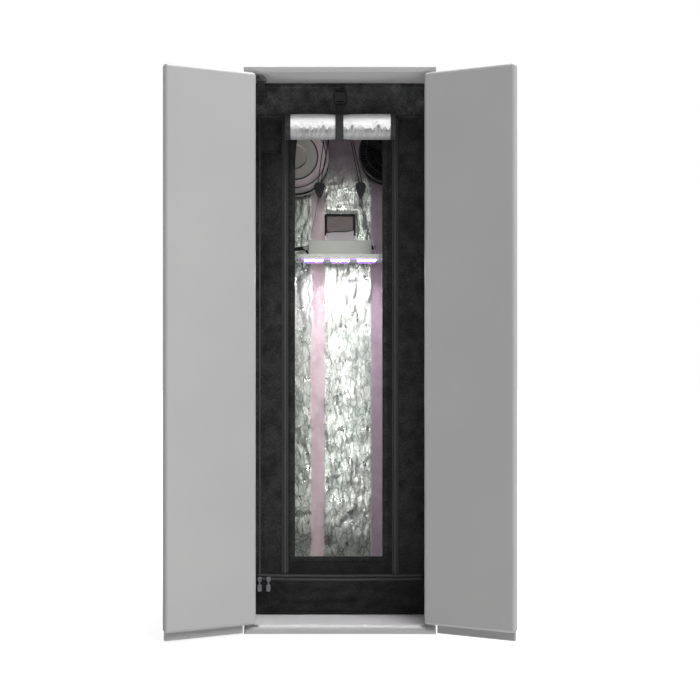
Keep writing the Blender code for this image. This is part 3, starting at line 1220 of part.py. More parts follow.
def make_fan_blades():
    """The fan's hub, its twisted blades and the shaft that runs back into the motor."""
    middle_y = (FAN_SHELL_Y + FAN_BACK_Y) / 2
    half = BLADE_HUB_LENGTH / 2
    hub = rod("fan_blades", (FAN_X, middle_y - half, FAN_Z), (FAN_X, middle_y + half, FAN_Z), BLADE_HUB_RADIUS,
              BLACK_PLASTIC, 20)
    shaft = rod("shaft", (FAN_X, middle_y, FAN_Z), (FAN_X, FAN_BACK_Y + SHAFT_INSERT, FAN_Z), SHAFT_RADIUS, STEEL)
    unite(hub, shaft, *[fan_blade(2 * math.pi * i / BLADE_COUNT, middle_y) for i in range(BLADE_COUNT)])
    carry(pivot("fan_spin_axis", (FAN_X, middle_y, FAN_Z)), hub)


def fan_blade(angle, middle_y):
    """One blade: a strip whose chord turns from steep at the hub to shallow at the tip."""
    tip = FAN_RADIUS - FAN_WALL - BLADE_TIP_GAP

    def point(across_share, reach):
        share = (reach - BLADE_HUB_RADIUS) / (tip - BLADE_HUB_RADIUS)
        pitch = math.radians(BLADE_ROOT_DEG + (BLADE_TIP_DEG - BLADE_ROOT_DEG) * share)
        along = BLADE_CHORD * (1 + share) * across_share
        return polar(reach, middle_y + along * math.sin(pitch), angle + along * math.cos(pitch) / reach)

    rows = spaced(BLADE_HUB_RADIUS - BLADE_THICK, tip, 4)
    blade = sheet("blade", spaced(-0.5, 0.5, 3), rows, point, BLADE_THICK, BLACK_PLASTIC)
    blade.modifiers["thickness"].offset = 0
    return blade


def make_fan_clip():
    """The clip: a jaw round the rear hanging bar, an arm down behind the fan, and a fork with its pin."""
    half, thick = CLIP_WIDTH / 2, CLIP_ARM_THICK / 2
    bar, tilt = Vector((FAN_X, REAR_BAR_Y, RAIL_HIGH_Z)), Vector((FAN_X, REAR_BAR_Y, FAN_Z))
    fork_z = FAN_Z + 2 * CLIP_PIVOT_RADIUS
    clip = box("fan_clip", (FAN_X - half, bar.y - thick, fork_z), (FAN_X + half, bar.y + thick, bar.z),
               BLACK_PLASTIC)
    reach, over = Vector((half, 0, 0)), Vector((OVERRUN, 0, 0))
    unite(clip, rod("jaw", bar - reach, bar + reach, CLIP_JAW_RADIUS, BLACK_PLASTIC, 16))
    for side in (-1, 1):
        low_x, high_x = sorted((FAN_X + side * half, FAN_X + side * (half - CLIP_CHEEK_THICK)))
        unite(clip, box("cheek", (low_x, tilt.y - thick, FAN_Z), (high_x, tilt.y + thick, fork_z + thick),
                        BLACK_PLASTIC),
              rod("cheek_end", (low_x, tilt.y, FAN_Z), (high_x, tilt.y, FAN_Z), CLIP_PIVOT_RADIUS,
                  BLACK_PLASTIC, 16))
    unite(clip, rod("tilt_pin", tilt - reach, tilt + reach, PIVOT_PIN_RADIUS, STEEL))
    cut(clip, rod("jaw_bore", bar - reach - over, bar + reach + over, BAR_RADIUS + PIVOT_CLEARANCE + SEAT_GAP,
                  BLACK_PLASTIC))


def main():
    make_carcass()
    make_doors()
    make_tent_front()
    make_tent_walls()
    make_vent_net()
    make_frame()
    make_roll()
    make_strap()
    make_buckle()
    make_corner_ring()
    make_zips()
    make_lamp()
    make_rigging()
    make_filter()
    make_fan_guard()
    make_fan_housing()
    make_fan_blades()
    make_fan_clip()


main()
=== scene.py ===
# %% [markdown]
# # An indoor grow tent in its cabinet
# The real object is a plain two-door cabinet with a fabric tent inside it. The CAD model already has every
# size and every joint, so this script only dresses it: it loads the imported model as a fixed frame, hides the
# solids that stand for cloth and cord, and puts finished surfaces in their places. Everything is in metres.

# %% Load the frame
import json
import math

import bmesh
import bpy
import numpy as np
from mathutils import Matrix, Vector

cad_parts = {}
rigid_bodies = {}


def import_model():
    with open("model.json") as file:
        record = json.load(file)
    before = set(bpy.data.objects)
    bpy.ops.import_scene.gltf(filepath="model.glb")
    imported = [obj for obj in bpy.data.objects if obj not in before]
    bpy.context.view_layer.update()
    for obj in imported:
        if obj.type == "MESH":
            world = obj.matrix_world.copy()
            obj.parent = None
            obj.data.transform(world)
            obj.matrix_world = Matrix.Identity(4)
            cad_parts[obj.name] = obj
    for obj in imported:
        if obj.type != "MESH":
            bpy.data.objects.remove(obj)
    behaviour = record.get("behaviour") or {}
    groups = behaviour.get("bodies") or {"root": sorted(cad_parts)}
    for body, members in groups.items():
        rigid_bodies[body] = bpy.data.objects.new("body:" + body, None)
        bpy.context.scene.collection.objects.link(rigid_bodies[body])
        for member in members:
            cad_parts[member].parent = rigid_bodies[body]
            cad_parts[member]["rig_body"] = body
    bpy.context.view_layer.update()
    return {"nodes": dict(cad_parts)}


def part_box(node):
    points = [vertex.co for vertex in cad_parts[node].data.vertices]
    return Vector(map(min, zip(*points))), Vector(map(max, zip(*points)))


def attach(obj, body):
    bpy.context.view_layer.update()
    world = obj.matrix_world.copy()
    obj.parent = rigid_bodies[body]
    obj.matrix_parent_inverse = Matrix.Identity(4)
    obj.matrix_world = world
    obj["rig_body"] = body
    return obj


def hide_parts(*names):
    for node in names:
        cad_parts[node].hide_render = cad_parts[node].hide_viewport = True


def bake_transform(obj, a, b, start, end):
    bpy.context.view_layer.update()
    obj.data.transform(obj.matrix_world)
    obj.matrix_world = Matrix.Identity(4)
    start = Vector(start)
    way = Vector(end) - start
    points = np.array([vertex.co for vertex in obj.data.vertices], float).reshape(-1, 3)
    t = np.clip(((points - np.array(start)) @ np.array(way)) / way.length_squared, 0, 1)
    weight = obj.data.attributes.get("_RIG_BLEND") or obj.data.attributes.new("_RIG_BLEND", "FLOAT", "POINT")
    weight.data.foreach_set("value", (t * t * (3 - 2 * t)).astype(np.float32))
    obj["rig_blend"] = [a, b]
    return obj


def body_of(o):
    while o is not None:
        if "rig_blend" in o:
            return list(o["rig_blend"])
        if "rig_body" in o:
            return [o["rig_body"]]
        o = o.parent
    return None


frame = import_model()
scene = bpy.context.scene


# %% [markdown]
# ## The camera
# The photograph looks straight at the tent from about four metres with a long lens. The place comes from how
# much larger the doors' free edges look than the cabinet behind them, and from the tent's front inside the
# cabinet; the small shift puts the middle of the cabinet where the photograph has it.

# %% Camera
PICTURE = 700  # pixels across
FOCAL_PIXELS = 1263.2
SHIFT_PIXELS = (9.95, 8.0)
CAMERA_PLACE = (0, -4.305, 0.8765)
LEVEL = (math.pi / 2, 0, 0)  # turns what points down so that it looks at the back


def put_in(name, data, location=(0, 0, 0), turn=(0, 0, 0)):
    """A new object in the scene."""
    made = bpy.data.objects.new(name, data)
    made.location, made.rotation_euler = location, turn
    scene.collection.objects.link(made)
    return made


camera_data = bpy.data.cameras.new("camera")
camera_data.sensor_fit = "HORIZONTAL"
camera_data.sensor_width = 36
camera_data.lens = FOCAL_PIXELS / PICTURE * camera_data.sensor_width
camera_data.shift_x, camera_data.shift_y = (pixels / PICTURE for pixels in SHIFT_PIXELS)
scene.camera = put_in("camera", camera_data, CAMERA_PLACE, LEVEL)
print("lens", round(camera_data.lens, 2), "mm")


# %% [markdown]
# ## Light
# A studio lights such a cabinet with one large soft lamp high on the right and lets a white room fill the
# shadows. A sun with a wide angle does the first, since it is as strong at the cabinet's foot as at its top,
# and a weaker one from the front and a pale world do the second. The photograph's top panel is as light below
# as in front, so the cabinet stood on a lit table: another wide sun comes up through the floor. One behind
# keeps the back readable. A narrow beam from the front reaches through the window into the tent.

# %% Lamps
def lamp(name, kind, energy, turn, location=(0, 0, 0), **settings):
    data = bpy.data.lights.new(name, kind)
    data.energy = energy
    for key, value in settings.items():
        setattr(data, key, value)
    put_in(name, data, location, turn)
    print("lamp", name)


def soft_sun(name, azimuth_deg, elevation_deg, level, angle_deg):
    """A far lamp: azimuth is turned to the right from the front, level is the light on a surface facing it."""
    turn = (math.radians(90 - elevation_deg), 0, math.radians(azimuth_deg))
    lamp(name, "SUN", level * math.pi, turn, angle=math.radians(angle_deg))


soft_sun("key_light", 66, 62, 1.52, 50)
soft_sun("front_light", 0, 66, 0.28, 60)
soft_sun("back_light", 165, 40, 0.45, 60)
soft_sun("table_light", 0, -64, 0.78, 60)
lamp("window_beam", "AREA", 0.12, LEVEL, (0, -1.3, 0.9), shape="RECTANGLE", size=0.22, size_y=1.2,
     spread=math.radians(9))


# %% [markdown]
# The room round the cabinet is white, but it adds only a little light to what the lamps give. So the world is
# two backgrounds: a faint one that lights, and plain white for what the camera, mirrors and clear things see.
# Two small functions put nodes together, for this and for all finishes.

# %% White room
def fill_in(tree, socket, value):
    """Links an output to a socket, or sets the socket's value; None leaves it as it is."""
    if isinstance(value, bpy.types.NodeSocket):
        tree.links.new(value, socket)
    elif value is not None:
        socket.default_value = value


def wired(tree, kind, values=(), **settings):
    """A shader node with its first inputs filled in order."""
    made = tree.nodes.new("ShaderNode" + kind)
    for key, value in settings.items():
        setattr(made, key, value)
    for socket, value in zip(made.inputs, values):
        fill_in(tree, socket, value)
    return made


scene.world = bpy.data.worlds.new("pale_room")
scene.world.use_nodes = True
sky = scene.world.node_tree
sky.nodes.clear()
ray = wired(sky, "LightPath").outputs
seen = ray["Is Camera Ray"]
for kind in ("Is Glossy Ray", "Is Transmission Ray"):
    seen = wired(sky, "Math", (seen, ray[kind]), operation="MAXIMUM").outputs[0]
fill = wired(sky, "Background", (None, 0.06)).outputs[0]
white = wired(sky, "Background", ((1, 1, 1, 1), 1.0)).outputs[0]
wired(sky, "OutputWorld", (wired(sky, "MixShader", (seen, fill, white)).outputs[0],))
scene.view_settings.view_transform = "Standard"
print("world", scene.world.name)


# %% [markdown]
# ## Finishes
# Each finish is a node tree: a Principled shader whose colour, roughness and bump come from noise, waves and
# weaves. The little class below keeps those trees short to write. Patterns read Object coordinates, which are
# metres here, or the piece's own UV map where a weave has to follow a strap or a rope.

# %% A class for node trees
class Finish:
    """A material with the record's slot that it belongs to, and the kinds of node that it is made of."""

    def __init__(self, name, slot, colour, roughness, metallic=0.0, coordinates="Object"):
        self.material = bpy.data.materials.new(name)
        self.material.use_nodes = True
        self.slot = slot
        self.tree = self.material.node_tree
        self.inputs = self.tree.nodes["Principled BSDF"].inputs
        self.place = self.node("TexCoord").outputs[coordinates]
        self.set("Base Color", (*colour, 1)).set("Roughness", roughness).set("Metallic", metallic)
        print("finish", name)

    def set(self, name, value):
        """Sets or links an input of the shader."""
        fill_in(self.tree, self.inputs[name], value)
        return self

    def node(self, kind, values=(), **settings):
        return wired(self.tree, kind, values, **settings)

    def axis(self, letter):
        return self.node("SeparateXYZ", (self.place,)).outputs[letter]

    def stretch(self, scale):
        return self.node("Mapping", (self.place, None, None, scale)).outputs[0]

    def noise(self, scale, detail=2.0, output="Fac"):
        return self.node("TexNoise", (self.place, None, scale, detail)).outputs[output]

    def wave(self, thread, direction, where=None):
        """Sine bands, each one thread wide."""
        scale = 0.05 * math.pi / thread
        made = self.node("TexWave", (where or self.place, scale), wave_type="BANDS", bands_direction=direction)
        return made.outputs["Fac"]

    def cells(self, scale, where):
        return self.node("TexVoronoi", (where, None, scale), feature="DISTANCE_TO_EDGE").outputs["Distance"]

    def sum(self, a, b, operation="ADD"):
        return self.node("Math", (a, b), operation=operation).outputs[0]

    def vector(self, values, operation="ADD"):
        return self.node("VectorMath", values, operation=operation).outputs[0]

    def bent(self, scale, detail, reach, where):
        """Coordinates moved by a little of a slow noise."""
        bend = self.vector((self.noise(scale, detail, "Color"), (reach, reach, reach)), "MULTIPLY")
        return self.vector((where, bend))

    def mix(self, share, first, second):
        return self.node("MixRGB", (share, first, second)).outputs[0]

    def levels(self, value, low, high, from_low=0.0, from_high=1.0):
        """A value between two levels brought to two others."""
        return self.node("MapRange", (value, from_low, from_high, low, high)).outputs[0]

    def shades(self, value, *stops):
        """Colours along a value, as (place, colour) stops."""
        made = self.node("ValToRGB", (value,))
        while len(made.color_ramp.elements) < len(stops):
            made.color_ramp.elements.new(1)
        for element, (place, colour) in zip(made.color_ramp.elements, stops):
            element.position, element.color = place, (*colour, 1)
        return made.outputs["Color"]

    def paint(self, value, *stops):
        return self.set("Base Color", self.shades(value, *stops))

    def bump(self, height, depth, strength=1.0):
        """A bump of a real depth in metres; several follow each other."""
        made, normal = self.node("Bump"), self.inputs["Normal"]
        before = normal.links[0].from_socket if normal.is_linked else None
        for name, value in (("Strength", strength), ("Distance", depth), ("Height", height), ("Normal", before)):
            fill_in(self.tree, made.inputs[name], value)
        return self.set("Normal", made.outputs[0])


# %% [markdown]
# ### The cabinet's paint
# The panels are powder coated: a satin grey with the faint orange peel that melted powder leaves. A fine
# noise as bump gives the peel, and a broad one shifts colour and gloss a little, since no coat is even.

# %% Paint
grey_paint = Finish("satin_grey_powder_coat", "cabinet_board", (0.42, 0.42, 0.42), 0.42)
grey_paint.paint(grey_paint.noise(3.0, 3), (0.3, (0.408, 0.408, 0.410)), (0.7, (0.428, 0.428, 0.426)))
grey_paint.set("Roughness", grey_paint.levels(grey_paint.noise(14, 3), 0.38, 0.47, 0.3, 0.7))
grey_paint.bump(grey_paint.noise(520), 0.00012, 0.6)


# %% [markdown]
# ### The tent's black cloth
# The skin is a coated polyester weave. Close up it is a basket of threads about a millimetre wide, and from
# a step back it looks mottled, since the coating takes dust and light unevenly. Two crossed waves give the
# threads and noise of two sizes gives the mottle. The colour is also scaled with height, and that is painted
# light: the band above the window is painted much lighter against the top panel's shadow over it, and the
# skirt is painted darker, painted shade. Webbing is the same yarn, woven in ribs.

# %% Cloth
def tent_cloth(name, low, high):
    """The coated weave between two shades of black."""
    made = Finish(name, "black_cloth", (high, high, high), 0.86)
    mottle = made.sum(made.noise(190, 3), made.noise(26, 3), "MULTIPLY")
    height = made.axis("Z")
    # painted light by height: painted shade darkens the skirt, and the band above the window is painted lighter
    painted_light_scale = made.sum(made.levels(height, 0.42, 0.85, 0.150, 0.250), made.levels(height, 0.0, 2.2, 1.660, 1.700))
    shade = made.shades(mottle, (0.14, (low, low, low * 1.05)), (0.38, (high, high, high * 1.03)))
    made.set("Base Color", made.vector((shade, None, None, painted_light_scale), "SCALE"))
    made.set("Sheen Weight", 0.05).set("Sheen Roughness", 0.4).set("Specular IOR Level", 0.25)
    made.bump(made.sum(made.wave(0.0011, "X"), made.wave(0.0011, "Z"), "MAXIMUM"), 0.0003, 0.7)
    return made.bump(made.noise(40, 4), 0.0012, 0.5)


black_cloth = tent_cloth("black_tent_cloth", 0.010, 0.044)
window_cloth = tent_cloth("black_window_cloth", 0.005, 0.027)

webbing = Finish("black_webbing", "black_cloth", (0.020, 0.020, 0.021), 0.75, coordinates="UV")
woven = webbing.sum(webbing.wave(0.0026, "X"), webbing.wave(0.0016, "Y"), "MULTIPLY")
webbing.paint(woven, (0.1, (0.010, 0.010, 0.011)), (0.8, (0.042, 0.042, 0.044)))
webbing.bump(woven, 0.0004, 0.8)

zip_coil = Finish("zip_coil", "black_cloth", (0.035, 0.035, 0.037), 0.38, coordinates="UV")
zip_coil.bump(zip_coil.wave(0.0022, "Y"), 0.0008)


# %% [markdown]
# ### The reflective lining
# Inside, the skin carries a metal film that sends the lamp's light back. It creases wherever the cloth was
# folded, and each little facet mirrors another part of the tent. Big creases are in the meshes; the small
# ones are here, as cell edges and noise in a bump over a nearly mirror-like metal.

# %% Lining
def film(name, colour, roughness, crease, upright=1.0, metallic=0.90):
    """Metal film: metal with creases of three sizes, coarse cells, fine cells and noise.

    The cells are bent by a little of a slow noise and, where upright is above 1, drawn out along Z.
    """
    made = Finish(name, "silver_cloth", colour, roughness, metallic)
    warped = made.bent(9.0, 2.0, 0.05, made.stretch((upright, upright, 1 / upright)))
    made.bump(made.cells(20, warped), 0.0060 * crease, 0.6)
    made.bump(made.cells(70, warped), 0.0016 * crease, 0.5)
    made.bump(made.noise(240, 4), 0.0004 * crease, 0.4)
    return made.set("Roughness", made.levels(made.noise(30, 4), roughness - 0.06, roughness + 0.12, 0.3, 0.7))


def back_film():
    """The back wall's film with three dull places, which are a soft mask over X and Z.

    The doubled cloth beside the seams is a pink-grey band on the left and a darker purple-grey one on the right,
    and above the filter the film ends in the same purple-grey cloth. The right band's darker shade is partly
    painted shade, as that band lies in shadow. The film's creases get painted shade as thin darker lines, which
    are the edges of two sizes of bent cells. Just below the lamp painted light fades most of them out.
    """
    made = film("silver_back_lining", (0.74, 0.78, 0.73), 0.30, 1.1, 1.9, 0.80)
    height = made.axis("Z")
    wander = made.levels(made.noise(6, 3), -0.012, 0.012)
    side = made.sum(made.axis("X"), made.sum(wander, 0.35, "MULTIPLY"))

    def band(centre, inner, outer):
        return made.levels(made.sum(made.sum(side, -centre), 0.0, "ABSOLUTE"), 1.0, 0.0, inner, outer)

    # the right band's purple-grey, darker than the left's pink-grey, is partly painted shade
    left, right = band(-0.0800, 0.0200, 0.0270), band(0.1415, 0.0250, 0.0310)
    top = made.levels(made.sum(height, made.sum(wander, 1.5, "MULTIPLY")), 0.0, 1.0, 1.480, 1.610)
    purple = made.sum(right, top, "MAXIMUM")
    bent = made.bent(14.0, 3.0, 0.07, made.stretch((1.8, 1.8, 0.8)))
    # painted shade: dark lines along the cells' edges darken the film's colour in its creases
    lines = [made.levels(made.cells(scale, bent), shade, 1.0, 0.0, width)
             for scale, shade, width in ((26, 0.52, 0.10), (61, 0.66, 0.14))]
    # painted light: just below the lamp the painted crease shade fades out
    washed = [made.levels(height, *ramp) for ramp in ((0.80, 0.0, 1.130, 1.235), (0.25, 0.80, 0.60, 1.02))]
    washed = made.sum(*washed, "MINIMUM")
    line = made.sum(made.sum(*lines, "MULTIPLY"), washed, "MAXIMUM")
    silver = made.shades(made.noise(8, 3), (0.3, (0.54, 0.60, 0.54)), (0.7, (0.74, 0.76, 0.71)))
    pinkish = made.mix(left, made.vector((silver, None, None, line), "SCALE"), (0.74, 0.62, 0.64, 1))
    made.set("Base Color", made.mix(purple, pinkish, (0.46, 0.375, 0.43, 1)))
    dull = made.sum(left, purple, "MAXIMUM")
    made.set("Roughness", made.sum(made.inputs["Roughness"].links[0].from_socket, made.sum(dull, 0.30, "MULTIPLY")))
    for link in [link for link in made.tree.links if link.to_socket.name == "Height"]:
        fill_in(made.tree, link.to_socket, made.sum(link.from_socket, made.levels(dull, 1.0, 0.25), "MULTIPLY"))
    return made


lining = film("silver_lining", (0.80, 0.82, 0.80), 0.30, 1.0, 1.5)
back_lining = back_film()
roll_film = film("silver_flap", (0.80, 0.80, 0.805), 0.44, 0.20, metallic=0.42)
# the flap's colour is painted light and shade, stored at each point of its mesh
roll_film.paint(roll_film.node("Attribute", attribute_name="painted_fold_light").outputs["Fac"],
                (0.0, (0.02, 0.02, 0.02)), (0.45, (0.34, 0.34, 0.345)), (0.86, (0.90, 0.90, 0.905)), (1.0, (1, 1, 1)))


# %% [markdown]
# ### Plastics, tubes and small metal
# Moulded parts get the fine grain that a spark-eroded mould leaves; the tent's tubes are enamelled steel; the
# lamp's box is painted a slightly green grey; the zips' sliders are grey cast metal, worn smoother on high
# spots.

# %% Plastics and metals
def grained(name, slot, colour, roughness, grain=900, depth=0.00008, metallic=0.0):
    made = Finish(name, slot, colour, roughness, metallic)
    made.set("Roughness", made.levels(made.noise(45, 3), roughness - 0.06, roughness + 0.08, 0.3, 0.7))
    return made.bump(made.noise(grain), depth, 0.6)


black_plastic = grained("black_moulded_plastic", "black_plastic", (0.010, 0.010, 0.011), 0.50)
black_plastic.set("Specular IOR Level", 0.25)
# the fins' plastic is the cage's black painted lighter, a painted sheen for the glints they catch
glint_painted_fin_plastic = grained("black_cage_plastic", "black_plastic", (0.040, 0.037, 0.038), 0.30)
buckle_plastic = grained("black_buckle_plastic", "black_plastic", (0.010, 0.010, 0.011), 0.30)
buckle_plastic.set("Specular IOR Level", 0.30)
cable_rubber = grained("black_cable_rubber", "cable_rubber", (0.015, 0.015, 0.015), 0.58, 400)
white_enamel = grained("white_enamelled_tube", "frame_tube", (0.66, 0.66, 0.66), 0.34, 300, 0.00004)
lamp_paint = grained("lamp_grey_paint", "lamp_metal", (0.53, 0.555, 0.50), 0.42, 600, 0.00006, 0.10)
zip_metal = grained("grey_cast_metal", "zip_metal", (0.26, 0.26, 0.27), 0.36, 500, 0.00006, 0.8)
bright_steel = grained("bright_steel", "bright_wire", (0.62, 0.62, 0.63), 0.26, 500, 0.00003, 1.0)
filter_plastic = grained("filter_end_plastic", "filter_case", (0.60, 0.58, 0.54), 0.45, 350, 0.00006)
filter_rim = grained("filter_rim_plastic", "filter_case", (0.82, 0.68, 0.71), 0.42, 350, 0.00006)
filter_ring = grained("filter_ring_violet", "filter_case", (0.10, 0.075, 0.16), 0.40, 350, 0.00005)
rim_steel = grained("galvanised_rim", "filter_case", (0.42, 0.37, 0.38), 0.50, 300, 0.00005, 0.5)
filter_fleece = grained("filter_fleece", "filter_case", (0.62, 0.61, 0.60), 0.92, 240, 0.0005)
net_thread = grained("brown_net_thread", "vent_net", (0.185, 0.115, 0.100), 0.75, 800, 0.0001)
flap_cloth = grained("pale_flap_cloth", "silver_cloth", (0.93, 0.87, 0.89), 0.60, 260, 0.0002)
ring_wire = grained("blackened_ring_wire", "bright_wire", (0.045, 0.045, 0.046), 0.34, 500, 0.00004, 0.9)


# %% [markdown]
# ### The lamp's glow
# The diodes are white with some red and blue, so their lens looks white in its middle and violet towards its
# lower edge. An emission that goes from white to violet with height gives that. Faces that look down send out
# much more than the lens's sides, so the tent below is lit while the edge that is seen keeps its colour. The
# front rows of diodes are the bright white ones and the rows behind are red and blue, a violet line from below.

# %% Glow
led_low, led_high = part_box("led_board")
glow = Finish("lamp_glow", "lamp_glow", (0.22, 0.20, 0.26), 0.35)
tint = glow.shades(glow.levels(glow.axis("Z"), 0.0, 1.0, led_low.z, led_low.z + 0.012),
                   (0.0, (0.30, 0.10, 0.72)), (0.42, (0.46, 0.22, 0.86)), (0.62, (1.0, 0.94, 1.0)))
facing = glow.node("SeparateXYZ", (glow.node("NewGeometry").outputs["True Normal"],)).outputs["Z"]
sideways = glow.levels(facing, 0.0, 1.0, -0.9, -0.4)
rear = glow.levels(glow.axis("Y"), 0.0, 1.0, -0.052, -0.044)
glow.set("Emission Color", glow.mix(sideways, glow.mix(rear, (1.0, 0.95, 0.98, 1), (0.42, 0.16, 0.82, 1)), tint))
glow.set("Emission Strength", glow.node("Mix", (sideways, None, glow.levels(rear, 190.0, 1.0), 0.90)).outputs[0])
board_glow = Finish("lamp_board_glow", "lamp_glow", (0.22, 0.18, 0.30), 0.40)
board_glow.set("Emission Color", board_glow.shades(
    board_glow.noise(90), (0.3, (0.42, 0.22, 0.80)), (0.7, (0.62, 0.42, 0.95)))).set("Emission Strength", 0.85)


# %% [markdown]
# ## Surfaces from numbers
# A new piece here is a function of two parameters, worked out for a whole grid at once. The helpers turn a
# grid of points into a mesh with a UV map measured in metres, and put it in the scene as a finished piece
# that rides on a body.

# %% Grid to piece
ROD = {"loop_columns": True, "caps": True}  # the columns go round and both ends are closed


def surface(name, points, loop_rows=False, loop_columns=False, kept=None, size=(1.0, 1.0), caps=False, flip=False):
    """A mesh from a grid of points (rows, columns, 3), or from many such grids stacked in front.

    UV is the share along columns times size[0] and along rows times size[1]. kept is a true or false for each
    quad. caps closes the first and last row of a tube with one face each.
    """
    points = np.asarray(points, float)
    stack = points.reshape(-1, *points.shape[-3:])
    copies, rows, columns = stack.shape[:3]
    high, wide = rows - (not loop_rows), columns - (not loop_columns)
    i, j = (n.ravel()[:, None] for n in np.meshgrid(np.arange(high), np.arange(wide), indexing="ij"))
    row, column = i + [0, 0, 1, 1], j + [0, 1, 1, 0]
    faces = (row % rows) * columns + column % columns
    uv = np.stack([column / wide * size[0], row / high * size[1]], axis=2)
    if kept is not None:
        faces, uv = faces[kept.ravel()], uv[kept.ravel()]
    starts = np.arange(copies) * rows * columns
    polygons = (faces + starts[:, None, None]).reshape(-1, 4).tolist()
    uv = np.tile(uv, (copies, 1, 1)).reshape(-1, 2)
    if caps:
        ring = np.arange(columns)
        for start in starts:
            polygons += [(start + ring[::-1]).tolist(), (start + (rows - 1) * columns + ring).tolist()]
        uv = np.vstack([uv, np.zeros((copies * 2 * columns, 2))])
    mesh = bpy.data.meshes.new(name)
    mesh.from_pydata(stack.reshape(-1, 3), [], polygons)
    mesh.uv_layers.new(name="UVMap").data.foreach_set("uv", uv.ravel())
    if flip:
        mesh.flip_normals()
    if kept is not None:
        trim = bmesh.new()
        trim.from_mesh(mesh)
        bmesh.ops.delete(trim, geom=[v for v in trim.verts if not v.link_faces], context="VERTS")
        trim.to_mesh(mesh)
        trim.free()
    mesh.shade_smooth()
    return mesh


def modify(made, name, kind, **settings):
    step = made.modifiers.new(name, kind)
    for key, value in settings.items():
        setattr(step, key, value)


def dress(name, mesh, finish, body="cabinet", replaces=(), thick=0.0, offset=-1.0, sharp_deg=None):
    """Puts a mesh in the scene as a finished piece that rides on a body."""
    made = put_in(name, mesh)
    mesh.materials.append(finish.material)
    if sharp_deg:
        mesh.set_sharp_from_angle(angle=math.radians(sharp_deg))
    if thick:
        modify(made, "thickness", "SOLIDIFY", thickness=thick, offset=offset)
    if body:
        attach(made, body)
    if replaces:
        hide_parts(*replaces)
    print("made", name, "with", len(mesh.polygons), "faces")
    return made


def piece(name, points, finish, body="cabinet", replaces=(), thick=0.0, offset=-1.0, sharp_deg=None, **shape):
    """A finished piece from a grid; shape is what surface() needs besides the points."""
    return dress(name, surface(name, points, **shape), finish, body, replaces, thick, offset, sharp_deg)


# %% [markdown]
# ### Paths, tubes and turned shapes
# A rope, a bar and a wire are a circle carried along a path. A smooth path comes from a few points by the
# Catmull-Rom rule, which passes through each of them. A turned piece is a profile swept round an axis.

# %% Paths and tubes
def points_at(*coordinates):
    """Points from their coordinates, each spread over the rows and columns of the others."""
    return np.stack(np.broadcast_arrays(*coordinates), axis=-1)


def circle(sides):
    """Angles evenly spaced round a circle."""
    return np.linspace(0, 2 * np.pi, sides, endpoint=False)


def unit(vectors):
    return vectors / np.linalg.norm(vectors, axis=-1, keepdims=True)


def through(points, count):
    """A smooth curve through the points (Catmull-Rom), at places evenly spaced by length."""
    p = np.asarray(points, float)
    p = np.vstack([2 * p[0] - p[1], p, 2 * p[-1] - p[-2]])
    s = np.linspace(0, len(p) - 3 - 1e-9, count * 8)
    i = s.astype(int)
    t = (s - i)[:, None]
    a, b, c, d = p[i], p[i + 1], p[i + 2], p[i + 3]
    curve = 0.5 * (2 * b + (c - a) * t + (2 * a - 5 * b + 4 * c - d) * t**2 + (3 * b - a - 3 * c + d) * t**3)
    walked = np.concatenate([[0], np.cumsum(np.linalg.norm(np.diff(curve, axis=0), axis=1))])
    even = np.linspace(0, walked[-1], count)
    return np.stack([np.interp(even, walked, column) for column in curve.T], axis=1)


def length_of(path):
    return float(np.linalg.norm(np.diff(path, axis=0), axis=1).sum())


def tube(path, radius, reference, sides=12):
    """A circle at each path point, in the plane across the path; reference is never along the path."""
    path = np.asarray(path, float)
    along = unit(np.gradient(path, axis=0))
    across = unit(np.cross(along, np.asarray(reference, float)))
    up = np.cross(across, along)
    angle = circle(sides)[None, :, None]
    return path[:, None] + radius * (across[:, None] * np.cos(angle) + up[:, None] * np.sin(angle))


def turned(profile, centre, axis="y", sides=96):
    """A profile of (radius, distance along an axis) swept round it, at one centre or at several."""
    profile = np.asarray(profile, float)
    first, second = profile[:, :1] * np.cos(circle(sides)), profile[:, :1] * np.sin(circle(sides))
    along = profile[:, 1:]
    order = {"y": (second, along, first), "-y": (first, -along, second), "-z": (first, second, -along)}[axis]
    return points_at(*order) + np.asarray(centre, float)[..., None, None, :]


def rounded_profile(corners, radius, steps=5):
    """A profile with each inner corner replaced by a small arc (a quadratic curve between its cut-back ends)."""
    p = np.asarray(corners, float)
    inner, back, on = p[1:-1], p[:-2] - p[1:-1], p[2:] - p[1:-1]
    cut = np.minimum(radius, np.minimum(np.linalg.norm(back, axis=1), np.linalg.norm(on, axis=1)) / 2)[:, None]
    t = np.linspace(0, 1, steps)[None, :, None]
    start, end, middle = (inner + unit(back) * cut)[:, None], (inner + unit(on) * cut)[:, None], inner[:, None]
    arcs = start * (1 - t) ** 2 + middle * 2 * t * (1 - t) + end * t**2
    return np.vstack([p[:1], arcs.reshape(-1, p.shape[1]), p[-1:]])


# %% [markdown]
# ### Creases
# Crumpled film is flat facets between sharp folds. A triangle wave is exactly that along one line, so a few
# of them in odd directions, bent by a slow ripple, add up to a sheet of facets. Slack cloth is rounder, so it
# uses sines.

# %% Creases and slack
def random_waves(seed, count, *ranges):
    """For each of count waves one random number from each range."""
    dice = np.random.default_rng(seed)
    return zip(*[dice.uniform(low, high, count) for low, high in ranges])


def slack(a, b, seed, wavelength, count=7):
    """Soft ripples between -1 and 1: sines in random directions and near one wavelength."""
    total = np.zeros(np.broadcast(a, b).shape)
    for turn, scale, shift in random_waves(seed, count, (0, np.pi), (0.6, 1.6), (0, 6)):
        total += np.sin((a * np.cos(turn) + b * np.sin(turn)) * 2 * np.pi / (wavelength * scale) + shift)
    return total / count * 1.4


